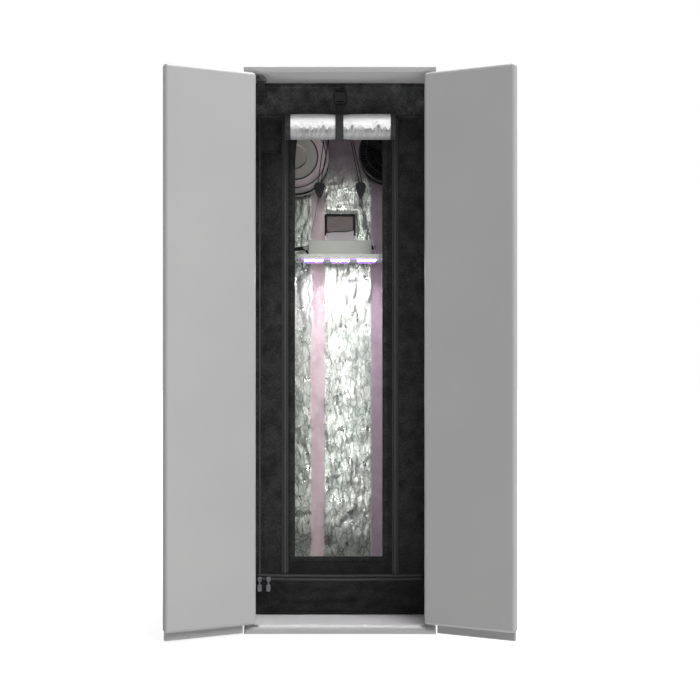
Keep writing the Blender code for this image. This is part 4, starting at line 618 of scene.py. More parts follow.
def crumple(a, b, seed, wavelength, count=9):
    """Facets between 0 and 1: triangle waves in random directions over coordinates that ripple slowly."""
    warp_a = a + wavelength * 0.35 * slack(a, b, seed + 1, wavelength * 2.2)
    warp_b = b + wavelength * 0.35 * slack(a, b, seed + 2, wavelength * 1.7)
    total, weight = np.zeros(np.broadcast(a, b).shape), 0.0
    for turn, scale, shift in random_waves(seed, count, (0, np.pi), (0.35, 1.7), (0, 1)):
        run = (warp_a * np.cos(turn) + warp_b * np.sin(turn)) / (wavelength * scale) + shift
        total += scale * np.abs((run % 1.0) * 2 - 1)
        weight += scale
    return total / weight


def smooth_step(value, low, high):
    """0 below low, 1 above high, with an eased ramp between."""
    t = np.clip((value - low) / (high - low), 0, 1)
    return t * t * (3 - 2 * t)


def stations(breaks, size):
    """Places from break to break, no further apart than size, with every break among them."""
    runs = [np.linspace(a, b, max(2, int(np.ceil((b - a) / size)) + 1))[:-1] for a, b in zip(breaks, breaks[1:])]
    return np.concatenate(runs + [[breaks[-1]]])


def divided(path, step):
    """The path with more points on it, no further apart than step."""
    rows = []
    for a, b in zip(path, path[1:]):
        count = max(1, int(np.ceil(np.linalg.norm(b - a) / step)))
        rows.append(a + (b - a) * np.arange(count)[:, None] / count)
    return np.vstack(rows + [path[-1:]])


# %% [markdown]
# ## The cords
# The lamp hangs on two ropes. Each comes up from its ratchet, goes over the front bar and back down, and is
# held taut by the lamp.

# %% Ropes
LAMP_Y = -0.010
BAR_Z = 1.7702
OVER_BAR = 0.007 + 0.0003  # the bar's radius and the gap to what lies over it
ROPE_RADIUS, LEAD_RADIUS, WIRE_RADIUS = 0.0015, 0.0035, 0.0009
RATCHET_X = 0.070

rope_braid = Finish("black_braided_rope", "rope_cord", (0.020, 0.020, 0.021), 0.70, coordinates="UV")
slant = [rope_braid.wave(0.004, "DIAGONAL", rope_braid.stretch((1, sign, 1))) for sign in (1, -1)]
braid = rope_braid.sum(*slant, "MAXIMUM")
rope_braid.paint(braid, (0.2, (0.004, 0.004, 0.005)), (0.9, (0.016, 0.016, 0.017)))
rope_braid.set("Specular IOR Level", 0.2).bump(braid, 0.0004, 0.9)


def rope_path(foot_x, top_x):
    """Up from one side of the ratchet, over the bar in half a circle, and down to its other side."""
    foot_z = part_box("left_rope_ratchet")[1].z + 0.0003
    reach = OVER_BAR + ROPE_RADIUS
    turn = np.linspace(np.pi, 0, 9)
    over = points_at(np.linspace(*top_x, 9), LAMP_Y + reach * np.cos(turn), BAR_Z + reach * np.sin(turn))
    foot, far = (np.array([foot_x + side * 0.0045, LAMP_Y + side * 0.00225, foot_z]) for side in (-1, 1))
    rows = [np.linspace(foot, over[0], 14)[:-1], over, np.linspace(over[-1], far, 14)[1:]]
    return through(np.vstack(rows), 40)


def cord(made, path):
    """Prints the length of a cord's path, with the piece's name."""
    length = length_of(path)
    print(made.name, round(length, 3), "m")


for word, side, tops in (("left", -1, (-0.035, -0.011)), ("right", 1, (0.004, 0.010))):
    path = rope_path(side * RATCHET_X, tops)
    rope = piece(word + "_rope_braid", tube(through(path, 120), ROPE_RADIUS, (1, 0, 0.001), 10), rope_braid,
                 None, (word + "_rope",), size=(0.0094, length_of(path)), **ROD)
    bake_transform(rope, "cabinet", "lamp", start=(path[17][0], LAMP_Y, BAR_Z - 0.012),
             end=(path[0][0], LAMP_Y, path[0][2] + 0.003))
    cord(rope, path)


# %% [markdown]
# A short lead loops from the gland of the lamp's box round and into its plate. It is a round rubber cable, so
# it keeps a wide bend and dips a little by its own weight.

# %% Lamp's lead
PLATE_TOP = 1.2223


def lead_path():
    """Out of the gland, round in a half circle that dips, then down into the plate."""
    turn_x, gland_z, radius, drop = -0.1335, 1.252, 0.0325, 0.0265
    half, down = np.linspace(0, np.pi, 13)[1:], np.linspace(0, np.pi / 2, 7)[1:]
    loop = points_at(turn_x - radius * np.sin(half), LAMP_Y + radius - radius * np.cos(half),
                     gland_z - 0.006 * np.sin(half))
    far_y = LAMP_Y + 2 * radius
    fall = points_at(turn_x + drop * np.sin(down), far_y, gland_z - drop * (1 - np.cos(down)))
    ends = [(x, LAMP_Y, gland_z) for x in (-0.1238, turn_x)]
    return np.vstack([ends, loop, fall, [(turn_x + drop, far_y, PLATE_TOP)]])


lead = lead_path()
lead_run = through(lead, 60)
lamp_lead = piece("lamp_lead", tube(lead_run, LEAD_RADIUS, (0.001, 0.002, 1), 14), cable_rubber, "lamp",
                  ("lamp_cable",), size=(0.022, length_of(lead)), **ROD)
cord(lamp_lead, lead_run)


# %% [markdown]
# The wires under the ratchets are stranded steel: bright, thin and dead straight between the plate's corner
# and the ratchet's eye. A slanting wave in the bump lays the strands.

# %% Lamp wires
wire_strand = Finish("stranded_steel_wire", "bright_wire", (0.55, 0.55, 0.56), 0.30, 1.0, "UV")
wire_strand.bump(wire_strand.wave(0.0015, "DIAGONAL"), 0.0003, 0.8)
for word, side in (("left", -1), ("right", 1)):
    foot_x, eye_x, eye_z = side * 0.118, side * RATCHET_X, 1.4276
    corner = [(foot_x, 0.086, PLATE_TOP), (foot_x, 0.086, PLATE_TOP + 0.0036), (eye_x, 0.0098, eye_z)]
    points = np.array([(x, LAMP_Y - y, z) for x, y, z in corner] + [(x, LAMP_Y + y, z) for x, y, z in corner[::-1]])
    path = np.vstack([np.linspace(a, b, 6)[:-1] for a, b in zip(points, points[1:])] + [points[-1:]])
    wire = piece(word + "_wire", tube(path, WIRE_RADIUS, (1, 0, 0), 8), wire_strand, "lamp", (word + "_lamp_wire",),
                 size=(0.0057, length_of(path)), **ROD)
    cord(wire, path)


# %% [markdown]
# ## The cabinet
# The panels and doors are the CAD nodes' own shapes. A copy of each is welded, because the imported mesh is
# loose triangles, and its roundings are shaded smoothly while its flat faces keep flat normals.

# %% Smooth copies of hard parts
def skinned(finish, *nodes, angle_deg=40, bevel=0.0, slot=None):
    """Welded, smoothly shaded copies of CAD nodes, which stand for them."""
    for node in nodes:
        source = frame["nodes"][node]
        shape = bmesh.new()
        shape.from_mesh(source.data)
        bmesh.ops.remove_doubles(shape, verts=shape.verts, dist=0.00001)
        bmesh.ops.dissolve_limit(shape, angle_limit=0.002, verts=shape.verts, edges=shape.edges)
        mesh = bpy.data.meshes.new(node + "_skin")
        shape.to_mesh(mesh)
        shape.free()
        mesh.shade_smooth()
        made = dress(mesh.name, mesh, finish, body_of(source)[0], (node,), sharp_deg=angle_deg)
        if bevel:
            modify(made, "worn edges", "BEVEL", width=bevel, segments=2, limit_method="ANGLE",
                   angle_limit=math.radians(angle_deg))
        modify(made, "flat faces stay flat", "WEIGHTED_NORMAL", keep_sharp=True)


skinned(grey_paint, "base_panel", "top_panel", "left_side_panel", "right_side_panel", "back_panel", "left_door",
        "right_door")
skinned(grey_paint, "left_foot_pivot", "left_top_pivot", "right_foot_pivot", "right_top_pivot", slot="hinge_steel")


# %% [markdown]
# ## The tent's front
# The front is one large panel of cloth with a window cut in it, sewn to the sides and kept flat by the frame
# behind it. It isn't quite flat: it bellies out between the posts, puckers along its seams and bunches in the
# skirt at its foot. One function gives that relief, and everything sewn to the front reads it too.

# %% Relief of the front
TENT_X = 0.279
FRONT_Y = -0.135
LOW_Z, HIGH_Z = 0.0303, 1.7827
SILL_Z, HEAD_Z = 0.218, 1.640
OPEN_LEFT, OPEN_RIGHT = -0.1530, 0.1440
ZIP_LEFT, ZIP_RIGHT = -0.1815, 0.1825
SIDE_ZIP = -0.265
ZIP_LOW, ZIP_HIGH = 0.164, 1.672


def front_relief(x, z):
    """How far the cloth stands out towards the viewer, in metres.

    The sum of: a belly in each side strip and slow slack, both calmed where the side zip's slider runs;
    puckers that fade away from the two upright zips;
    gathers that run along the skirt, and two long folds that lie across it.
    """
    edge = smooth_step(TENT_X - np.abs(x), 0.0, 0.02)
    lane = 1 - np.exp(-((x - SIDE_ZIP) / 0.012) ** 4)
    belly = 0.0022 * edge * lane * (0.5 + 0.5 * slack(x, z, 3, 0.5, 5))
    loose = 0.0009 * edge * lane * (1 + slack(x, z, 5, 0.11, 8))
    from_zip = np.minimum(np.abs(x - ZIP_LEFT), np.abs(x - ZIP_RIGHT))
    pucker = 0.0007 * np.exp(-from_zip / 0.012) * (1 + np.sin(z * 2 * np.pi / 0.017 + 2 * np.sin(z * 9)))
    in_skirt = smooth_step(z, LOW_Z + 0.006, 0.060) * smooth_step(0.146 - z, 0.0, 0.02)
    gather = 0.0034 * in_skirt * (1 + slack(x * 0.35, z + 0.05 * slack(x, z, 11, 0.16), 9, 0.038, 6)) * edge
    upper_fold = np.exp(-((z - 0.086 - 0.004 * np.sin(x * 14)) / 0.011) ** 2)
    folds = upper_fold + 0.8 * np.exp(-((z - 0.044) / 0.007) ** 2)
    return belly + loose + pucker + gather + 0.0045 * folds * smooth_step(0.20 - np.abs(x - 0.01), 0.0, 0.06)


# %% [markdown]
# The panel is one grid with the window's quads left out. The band between the zips is a blacker cloth than the
# sides. The window's upper left corner has been pulled a centimetre inwards by the roll's weight.

# %% Panel with its window
def lean(x, z):
    """How far the window's left edge is pulled to the right near its top."""
    return 0.010 * smooth_step(z, 1.50, HEAD_Z) * np.exp(-np.abs(x - OPEN_LEFT) / 0.03)


def quads_in(across, upward, left, right, low, high):
    """True for each quad of an upright grid whose middle is inside a rectangle."""
    x, z = (across[1:] + across[:-1]) / 2, ((upward[1:] + upward[:-1]) / 2)[:, None]
    return (z > low) & (z < high) & (x > left) & (x < right)


def paint_quads(made, kinds):
    """Gives each quad of a piece one of its materials by number."""
    made.data.polygons.foreach_set("material_index", kinds.astype(np.int32))


across = stations([-TENT_X, -0.2, OPEN_LEFT, OPEN_RIGHT, 0.2, TENT_X], 0.006)
upward = stations([LOW_Z, 0.150, SILL_Z, HEAD_Z, HIGH_Z], 0.007)
z, x = np.meshgrid(upward, across, indexing="ij")
window = quads_in(across, upward, OPEN_LEFT, OPEN_RIGHT, SILL_Z, HEAD_Z)
front_cloth = piece("tent_front_cloth", points_at(x + lean(x, z), FRONT_Y - front_relief(x, z), z), black_cloth,
                    replaces=("tent_front",), thick=0.0009, kept=~window, size=(2 * TENT_X, HIGH_Z - LOW_Z))
front_cloth.data.materials.append(window_cloth.material)
paint_quads(front_cloth, quads_in(across, upward, ZIP_LEFT, ZIP_RIGHT, 0.163, 1.674)[~window])


# %% [markdown]
# Seams, zips and bindings are narrow strips laid on the front. Each is a cross-section, such as the hump of a
# zip's coil between its two flat tapes, carried along a line on the cloth, so it rises and falls with it.

# %% Strips on the front
def carried(line, section):
    """A cross-section of (across, height) carried along a line of (x, z): the x, z and height of its points.

    A point is the line's point plus across times the line's sideways direction.
    """
    along = unit(np.gradient(line, axis=0))
    spot = line[:, None] + points_at(along[:, 1], -along[:, 0])[:, None] * section[None, :, :1]
    return spot[..., 0], spot[..., 1], section[:, 1]


def strip(name, line, section, finish):
    """A section carried along a line on the front, a fifth of a millimetre in front of the cloth."""
    x, z, height = carried(line, section)
    piece(name, points_at(x, FRONT_Y - front_relief(x, z) - 0.0002 - height, z), finish, thick=0.0004, offset=1.0,
          size=(float(np.ptp(section[:, 0])), length_of(line)), flip=True)


def upright(x, low, high):
    return points_at(x, stations([low, high], 0.008))


def level(z, low, high, sag=0.0):
    x = stations([low, high], 0.008)
    return points_at(x, z - sag * np.cos(x / TENT_X * np.pi / 2))


t = np.linspace(-1, 1, 13)
coil_section = points_at(t * 0.0028, 0.0016 * np.sqrt(np.clip(1 - t**2, 0, 1)) + 0.0004)
t = np.linspace(-1, 1, 9)
hump = np.cos(t * np.pi / 2)
tape_section = points_at(t * 0.011, 0.0005 + 0.0004 * hump)
fold_section = points_at(t * 0.0035, 0.0013 * hump**0.5)
binding_section = points_at(t * 0.0085, 0.0004 + 0.0010 * hump**0.6)

for word, x in (("left", ZIP_LEFT), ("right", ZIP_RIGHT)):
    line = upright(x, ZIP_LOW, ZIP_HIGH)
    strip(word + "_window_tape", line, tape_section, webbing)
    strip(word + "_window_coil", line, coil_section, zip_coil)
    low, high = sorted((x + math.copysign(0.012, x), math.copysign(TENT_X - 0.005, x)))
    strip(word + "_cross_seam", level(1.675, low, high), fold_section, black_cloth)
for word, z in (("upper", 0.1600), ("lower", 0.1480)):
    line = level(z, -TENT_X + 0.006, TENT_X - 0.006, 0.0035)
    strip(word + "_foot_tape", line, tape_section * (0.45, 1), webbing)
    strip(word + "_foot_coil", line, coil_section * (0.7, 0.8), zip_coil)
strip("side_zip_coil", upright(SIDE_ZIP, 0.150, 1.668), coil_section * (0.8, 0.6), zip_coil)


# %% [markdown]
# A folded strip of the same cloth binds the window's raw edge all round, and a cord sewn into the cloth
# stiffens the front along its top and its foot. The binding is one more strip; the two pipings are tubes
# that wander a little, as a seam guided by hand does.

# %% Binding and piping
def round_rectangle(left, right, low, high, radius, step=0.008):
    """Once round a rectangle with rounded corners, as (x, z) points, ending where it began."""
    corners = [(right - radius, high - radius, 0), (left + radius, high - radius, 90),
               (left + radius, low + radius, 180), (right - radius, low + radius, 270)]
    rows = []
    for x, z, start in corners:
        turn = np.radians(np.linspace(start, start + 90, 6))
        rows.append(points_at(x + radius * np.cos(turn), z + radius * np.sin(turn)))
    return divided(np.vstack(rows + [rows[0][:1]]), step)


binding = round_rectangle(OPEN_LEFT - 0.004, OPEN_RIGHT + 0.004, SILL_Z - 0.004, HEAD_Z + 0.004, 0.006)
binding[:, 0] += lean(*binding.T)
strip("window_binding", binding, binding_section, black_cloth)
run = np.linspace(-TENT_X + 0.004, TENT_X - 0.004, 90)
for word, z, radius in (("top", 1.7707, 0.0024), ("foot", 0.0345, 0.0022)):
    wander = z + 0.0004 * np.sin(run * 40) + 0.0003 * np.sin(run * 97)
    path = points_at(run, FRONT_Y - front_relief(run, wander) - radius * 0.6, wander)
    piece(word + "_piping", tube(path, radius, (0, 0, 1), 10), black_cloth, size=(0.014, 0.55), **ROD)


# %% [markdown]
# ## The rolled window flap
# The flap that closes the window is rolled up from its foot with its silver side out and stays sewn along its
# top. In section it is a spiral, so the roll is a spiral sheet: about eight turns, loose enough to leave air
# between them. Creases grow towards the outside, and a strap pulls the middle in.

# %% Spiral sheet
ROLL_Y, ROLL_Z = -0.1836, 1.628
ROLL_RADIUS, CORE_RADIUS = 0.0455, 0.012
ROLL_LEFT, ROLL_RIGHT = -0.1785, 0.1815
TURNS = 8.0
FLAP_THICK = 0.0011


def slip(x, angle):
    """The ragged fold across the roll's front: front, above, lip and dark, each from 0 to about 1.

    front fades to the back, above is 1 over the ragged line, lip peaks just over it and dark just under it. In the
    flap's colour these give painted light: above is painted lighter, lip a painted highlight, dark a painted shadow
    line.
    """
    front = smooth_step(-np.cos(angle), -0.2, 0.3)
    turned_by = np.mod(angle, 2 * np.pi)
    ragged = np.radians(190 + 50 * (crumple(x, 0 * x, 23, 0.022, 7) - 0.5))
    above = smooth_step(ragged - turned_by, -0.02, 0.06)
    spikes = 1.7 * crumple(x, angle * ROLL_RADIUS, 24, 0.013) - 0.35
    lip = np.exp(-((ragged - 0.15 - turned_by) / 0.17) ** 2) * spikes
    dark = np.exp(-((turned_by - ragged - 0.07) / 0.09) ** 2)
    return front, above, lip, dark


def roll_radius(x, share, angle):
    """Radius of the rolled sheet: it grows evenly with the angle and is drawn in under the strap.

    share runs from 0 at the core to 1 at the end of the last turn. Across the front of the outer turn the
    sheet has slipped: it stands out above a ragged line, curls there, and lies lower in soft bands below it.
    """
    even = CORE_RADIUS + (ROLL_RADIUS - CORE_RADIUS) * share
    waist = 1 - 0.075 * np.exp(-(x / 0.030) ** 2) * share
    outer = smooth_step(share, 1 - 1.6 / TURNS, 1.0)
    front, above, lip, _ = slip(x, angle)
    bands = (1 - above) * np.sin(np.mod(angle, 2 * np.pi) * 17 + 1.5 * slack(x, angle * ROLL_RADIUS, 25, 0.12))
    fold = front * (0.0050 * above + 0.0040 * lip + 0.0010 * bands)
    return even * waist + outer * (fold + 0.0008 * slack(x, angle * ROLL_RADIUS, 22, 0.16) - 0.0072)


across = stations([ROLL_LEFT, ROLL_RIGHT], 0.0030)
last_turn = 1 - 1.25 / TURNS
share = np.concatenate([np.linspace(0, last_turn, 110)[:-1], np.linspace(last_turn, 1, 130)])
share, x = np.meshgrid(share, across, indexing="ij")
angle = np.pi / 2 + (1 - share) * TURNS * 2 * np.pi
radius = roll_radius(x, share, angle)
spiral = points_at(x, ROLL_Y + radius * np.cos(angle), ROLL_Z + radius * np.sin(angle))
sewn = points_at(across, FRONT_Y - 0.0030, 1.6745)
run_in = np.linspace(0, 1, 10)[1:, None, None]
points = np.concatenate([spiral, spiral[-1] * (1 - run_in) + sewn * run_in])
roll_length = length_of(points[:, len(across) // 2])
front, above, lip, dark = slip(x, angle)
creased = crumple(x, angle * ROLL_RADIUS, 26, 0.010) - 0.5
# painted light: lighter above the fold, painted highlights on its lip, a painted shadow under it, painted shade in
# the lower layer's creases
shade = 0.48 + 0.44 * above + 0.28 * lip * above - 0.26 * dark + 0.30 * (1 - above) * creased * front
shade = np.concatenate([shade, np.full((len(run_in), len(across)), 0.80)])
print("flap unrolled", round(ROLL_RIGHT - ROLL_LEFT, 3), "x", round(roll_length, 3), "m")


# %% [markdown]
# The flap's two edges are bound in black tape, and its other face is the tent's black cloth. The binding is a
# material of the outer columns, so it follows the sheet round every turn. The flap's colour carries painted
# light, stored at each point of the mesh: the slipped outer turn is painted lighter above its ragged line, its
# curl gets painted highlights, a painted shadow line lies under it, and the layer below is painted darker with
# painted shade in its creases.

# %% Flap's two faces
EDGE_QUADS = 6
flap = piece("window_flap", points, roll_film, replaces=("window_flap_roll",), thick=FLAP_THICK, offset=0.0,
             size=(ROLL_RIGHT - ROLL_LEFT, roll_length))
stored = flap.data.attributes.new("painted_fold_light", "FLOAT", "POINT").data
stored.foreach_set("value", np.clip(shade, 0.1, 1.0).ravel())
flap.data.materials.append(webbing.material)
flap.data.materials.append(black_cloth.material)
flap.modifiers["thickness"].material_offset = 2
quads = len(across) - 1
column = np.arange(len(flap.data.polygons)) % quads
paint_quads(flap, (column < EDGE_QUADS) | (column >= quads - EDGE_QUADS))
flap.data.update()


# %% [markdown]
# ## Strap and buckle
# A webbing strap comes down from a side-release buckle, goes round the roll and is sewn behind it. Webbing is
# stiff across its width, so it is a ribbon: a flat section carried along a path, a little bowed.

# %% Strap and buckle
RIBBON_THICK = 0.0014


def ribbon(name, path, centre_x, width, node):
    """A strap of (y, z) points: each row runs across its width, with its middle a little proud."""
    along = unit(np.gradient(path, axis=0))
    a = np.linspace(-1, 1, 9)
    lift = 0.0004 * (1 - a**2)
    y, z = path[:, :1] - along[:, 1:] * lift, path[:, 1:] + along[:, :1] * lift
    made = piece(name, points_at(centre_x + a * width / 2, y, z), webbing, replaces=(node,), thick=RIBBON_THICK,
                 offset=0.0, size=(width, length_of(path)))
    modify(made, "soft edge", "BEVEL", width=RIBBON_THICK * 0.3, segments=2)
    length_of(path)


turn = np.radians(np.linspace(88, 352, 46))
waist = ROLL_RADIUS * 0.925 + 0.0022
around = points_at(ROLL_Y + waist * np.cos(turn), ROLL_Z + waist * np.sin(turn))
lead_in = through([(-0.1372, 1.764), (-0.1376, 1.730), (-0.1380, 1.705), (-0.1392, 1.690), (-0.150, 1.6745),
                   (ROLL_Y + 0.004, 1.6722)], 24)
tail = through([around[-1], (-0.1386, 1.640), (-0.1380, 1.655)], 8)[1:]
ribbon("flap_strap", np.vstack([lead_in[:-1], around, tail]), -0.002, 0.0255, "roll_strap")
skinned(buckle_plastic, "strap_buckle", bevel=0.0006)


# %% [markdown]
# ## Corner ring
# A house-shaped ring of blackened wire is held at the tent's upper left corner by a loop of webbing. The ring
# is a smooth closed path near the corners of its outline; the webbing goes round its foot and back to the seam.

# %% Corner ring and its webbing
RING_RADIUS = 0.0011
ring_low, ring_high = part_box("corner_ring")
ring_x, ring_y, base_z = (ring_low.x + ring_high.x) / 2, (ring_low.y + ring_high.y) / 2, ring_low.z + RING_RADIUS
house = np.array([(-0.017, 0), (0.017, 0), (0.017, 0.011), (0, 0.022), (-0.017, 0.011), (-0.017, 0)])
side = np.vstack([a + (b - a) * np.array([[0.12], [0.5], [0.88]]) for a, b in zip(house, house[1:])])
loop = np.vstack([side, side[:1]])
path = through(points_at(ring_x + loop[:, 0], ring_y, base_z + loop[:, 1]), 72)[:-1]
wire = tube(np.vstack([path[-1:], path, path[:1]]), RING_RADIUS, (0, 1, 0), 12)[1:-1]
piece("corner_ring_wire", wire, ring_wire, replaces=("corner_ring",), loop_rows=True, loop_columns=True,
      size=(0.007, length_of(np.vstack([path, path[:1]]))))

turn = np.radians(np.linspace(60, 270, 14))
hold = RING_RADIUS + 0.0003 + 0.00075
wrap = points_at(ring_y + hold * np.cos(turn), base_z + hold * np.sin(turn))
hang = [(-0.235, -0.006), (-0.185, -0.0085), (-0.150, -0.0075), (-0.1385, -0.010), (-0.1375, -0.020)]
hang = through([wrap[-1]] + [(y, base_z + fall) for y, fall in hang], 40)[1:]
ribbon("ring_tab", np.vstack([wrap, hang]), ring_x, 0.026, "ring_webbing")


# %% [markdown]
# ## Walls of the tent
# The walls, roof and floor are the same cloth with its silver side in. The film is crumpled on the back wall
# and smoother in two upright bands where the cloth is doubled at a seam. Each wall is a grid whose inner
# points move in by a few millimetres of creases, less near its edges.

# %% Wall sheets
WALL_FRONT, WALL_BACK = -0.1335, 0.2835
WALL_X, ROOF_X = 0.2778, 0.2775
BACK_Y = 0.2838
DEPTH, HEIGHT = 0.417, HIGH_Z - LOW_Z
FILTER_X, FILTER_Z = -0.1550, 1.568
PORT_R = 0.0625


def wall_fade(a, b, low, high):
    """1 in the middle of a wall and 0 at its edges."""
    inside = np.minimum(np.minimum(a - low[0], high[0] - a), np.minimum(b - low[1], high[1] - b))
    return smooth_step(inside, 0.0, 0.02)


VENT_LOW, VENT_HIGH = (-0.048, 1.3285), (0.048, 1.3915)
across = stations([-TENT_X, -0.102, -0.060, VENT_LOW[0], VENT_HIGH[0], 0.108, 0.154, TENT_X], 0.0050)
upward = stations([LOW_Z, VENT_LOW[1], VENT_HIGH[1], HIGH_Z], 0.0052)
z, x = np.meshgrid(upward, across, indexing="ij")
fade = wall_fade(x, z, (-TENT_X, LOW_Z), (TENT_X, HIGH_Z))
near_vent = smooth_step(np.maximum(np.abs(x) - 0.050, np.abs(z - 1.345) - 0.053), 0.0, 0.016)
band = np.exp(-((x + 0.081) / 0.020) ** 4) + np.exp(-((x - 0.131) / 0.022) ** 4)
crease = crumple(x, z, 31, 0.075) * (1 - 0.85 * band) + 0.35 * band
vent = quads_in(across, upward, VENT_LOW[0], VENT_HIGH[0], VENT_LOW[1], VENT_HIGH[1])
mid_x, mid_z = (across[1:] + across[:-1]) / 2, (upward[1:] + upward[:-1]) / 2
port = (mid_x - FILTER_X) ** 2 + (mid_z[:, None] - FILTER_Z) ** 2 < PORT_R**2
back_wall = piece("back_wall_lining", points_at(x, BACK_Y - 0.0090 * fade * near_vent * crease, z), back_lining,
                  replaces=("tent_back",), thick=0.0008, offset=1.0, kept=~(vent | port), size=(2 * TENT_X, HEIGHT))

z, y = np.meshgrid(stations([LOW_Z, HIGH_Z], 0.0066), stations([WALL_FRONT, WALL_BACK], 0.0062), indexing="ij")
fade = wall_fade(y, z, (WALL_FRONT, LOW_Z), (WALL_BACK, HIGH_Z))
for word, side in (("left", -1), ("right", 1)):
    crease = crumple(y, z, 41 + side, 0.085) * 0.0085 * fade
    wall = piece(word + "_wall_lining", points_at(side * (WALL_X - crease), y, z), lining,
                 replaces=(f"tent_{word}_wall",), thick=0.0008, size=(DEPTH, HEIGHT), flip=side > 0)


# %% [markdown]
# The roof hangs from the top rails and the floor lies on the cabinet's base, so both are almost flat and only
# keep shallow creases.

# %% Roof and floor
y, x = np.meshgrid(stations([WALL_FRONT, WALL_BACK], 0.010), stations([-ROOF_X, ROOF_X], 0.010), indexing="ij")
fade = wall_fade(x, y, (-ROOF_X, WALL_FRONT), (ROOF_X, WALL_BACK))
for word, z, way, held, under in (("roof", 1.7820, -1, "hung", "top_left_rail_skin"),
                                  ("floor", 0.0312, 1, "laid", "base_panel_skin")):
    rise = crumple(x, y, 51 + way, 0.09) * 0.0014 * fade
    sheet = piece(f"{word}_lining", points_at(x, y, z + way * rise), lining, replaces=(f"tent_{word}",), thick=0.0007,
                  size=(2 * ROOF_X, DEPTH), flip=way < 0)


# %% [markdown]
# ## The vent
# The small vent in the back wall has a fine net in a black border and a flap folded down below it. The net is
# real threads, each weaving over and under the others by half a thread: a sine whose sign changes from one
# thread to the next.

# %% Net, border and flap
VENT_Z = 1.360
NET_Y, BORDER_Y, FLAP_Y, HEM_Y = 0.2829, 0.2820, 0.2812, 0.2788
PITCH, THREAD = 0.0016, 0.00058


def threads(count, length, lengthwise):
    """Threads as tubes: the n-th lies at n pitches and weaves with height sin(pi * s / pitch + n pi)."""
    run = np.linspace(-length / 2, length / 2, int(length / PITCH) * 4 + 1)
    n = np.arange(count)[:, None]
    over = NET_Y - 0.0004 * np.sin(np.pi * run / PITCH + np.pi * n)
    angle = circle(4)
    aside = ((n - (count - 1) / 2) * PITCH + 0 * run)[..., None] + THREAD * np.cos(angle)
    y, run = over[..., None] + THREAD * np.sin(angle), run[None, :, None]
    return points_at(aside, y, VENT_Z + run) if lengthwise else points_at(run, y, VENT_Z + aside)


piece("vent_net_warp", threads(60, 0.065, True), net_thread, replaces=("vent_mesh",), **ROD)
piece("vent_net_weft", threads(40, 0.097, False), net_thread, **ROD)
edge = round_rectangle(-0.0515, 0.0515, VENT_Z - 0.035, VENT_Z + 0.035, 0.003, 0.004)
x, z, height = carried(edge, points_at(t * 0.0050, 0.0008 * hump**0.5))
piece("vent_border", points_at(x, BORDER_Y - height, z), webbing, thick=0.0006, offset=1.0,
      size=(0.0084, length_of(edge)), flip=True)

row, column = np.meshgrid(np.linspace(0, 1, 24), np.linspace(0, 1, 40), indexing="ij")
x = -0.050 + 0.100 * column
top_edge, bottom_edge = 1.3300 + 0.0085 * column + 0.0015 * np.sin(column * 7), 1.2940 + 0.0010 * np.sin(column * 5)
z = bottom_edge + (top_edge - bottom_edge) * row
y = FLAP_Y - 0.0022 * np.sin(row * np.pi) * (0.6 + 0.4 * slack(x, z, 61, 0.03)) - 0.0010 * row
vent_flap = piece("vent_flap", points_at(x, y, z), flap_cloth, thick=0.0008, offset=0.0, size=(0.1, 0.038))
run = np.linspace(0, 1, 30)
hem = points_at(-0.0485 + 0.097 * run, HEM_Y, 1.3306 + 0.0085 * run + 0.0015 * np.sin(run * 7))
piece("vent_hem", tube(hem, 0.0016, (0, 1, 0), 10), webbing, size=(0.01, 0.1), **ROD)


# %% [markdown]
# ## The frame's tubes
# Enamelled steel tubes push into three-way plastic corners. They are the CAD shapes, welded and smoothed: the
# posts and hanging bars carry both materials, told apart by their distance from the middle.

# %% Tubes and corners
RAIL_LOW, RAIL_HIGH = 0.0428, 1.7702


def white_and_black(name, letter, middle, reach, gloss):
    """White enamel that becomes black plastic further than reach from the middle along one axis."""
    made = Finish(name, "frame_tube", (0.66, 0.66, 0.66), 0.36)
    away = made.sum(made.sum(made.axis(letter), middle, "SUBTRACT"), 0.0, "ABSOLUTE")
    is_black = made.sum(away, reach, "GREATER_THAN")
    made.paint(is_black, (0.0, (0.66, 0.66, 0.66)), (0.5, (0.017, 0.017, 0.018)))
    made.set("Roughness", made.levels(is_black, *gloss))
    return made.bump(made.noise(600), 0.00005, 0.5)


post_finish = white_and_black("white_tube_black_corner", "Z", (RAIL_LOW + RAIL_HIGH) / 2,
                              (RAIL_HIGH - RAIL_LOW) / 2 - 0.0452, (0.32, 0.45))
bar_finish = white_and_black("white_bar_black_ring", "X", 0.0, 0.2550, (0.36, 0.36))
skinned(post_finish, "front_left_post", "front_right_post", "rear_left_post", "rear_right_post", angle_deg=35)
rails = [f"{end}_{word}_rail" for end in ("bottom", "top") for word in ("front", "rear", "left", "right")]
skinned(white_enamel, *rails, angle_deg=35)
skinned(bar_finish, "front_hanging_bar", "rear_hanging_bar", angle_deg=35)


# %% [markdown]
# ## The lamp
# A folded plate carries a driver box on top and a board of diodes below. The box and plate are the CAD shapes
# with softened edges. The screws along the plate's front lip are new: each is a low dome.

# %% Plate, box and screws
skinned(lamp_paint, "lamp_plate", bevel=0.0006)
skinned(lamp_paint, "lamp_driver", angle_deg=35)
skinned(black_plastic, "dimmer_knob", angle_deg=30, bevel=0.0003)


def dome(radius, height, steps=5):
    """A screw head's profile as (radius, height): a flat rim, then a quarter of an ellipse to the pole."""
    t = np.linspace(0, np.pi / 2, steps)
    profile = np.vstack([[(radius, -0.0006)], points_at(radius * np.cos(t), height * np.sin(t))])
    profile[-1, 0] = 0.0001
    return profile


heads = [(x, -0.1101, 1.2152) for x in (-0.1306, -0.068, 0.067, 0.1297)]
piece("plate_screws", turned(dome(0.0026, 0.0014), heads, "-y", 20), bright_steel, "lamp", **ROD)


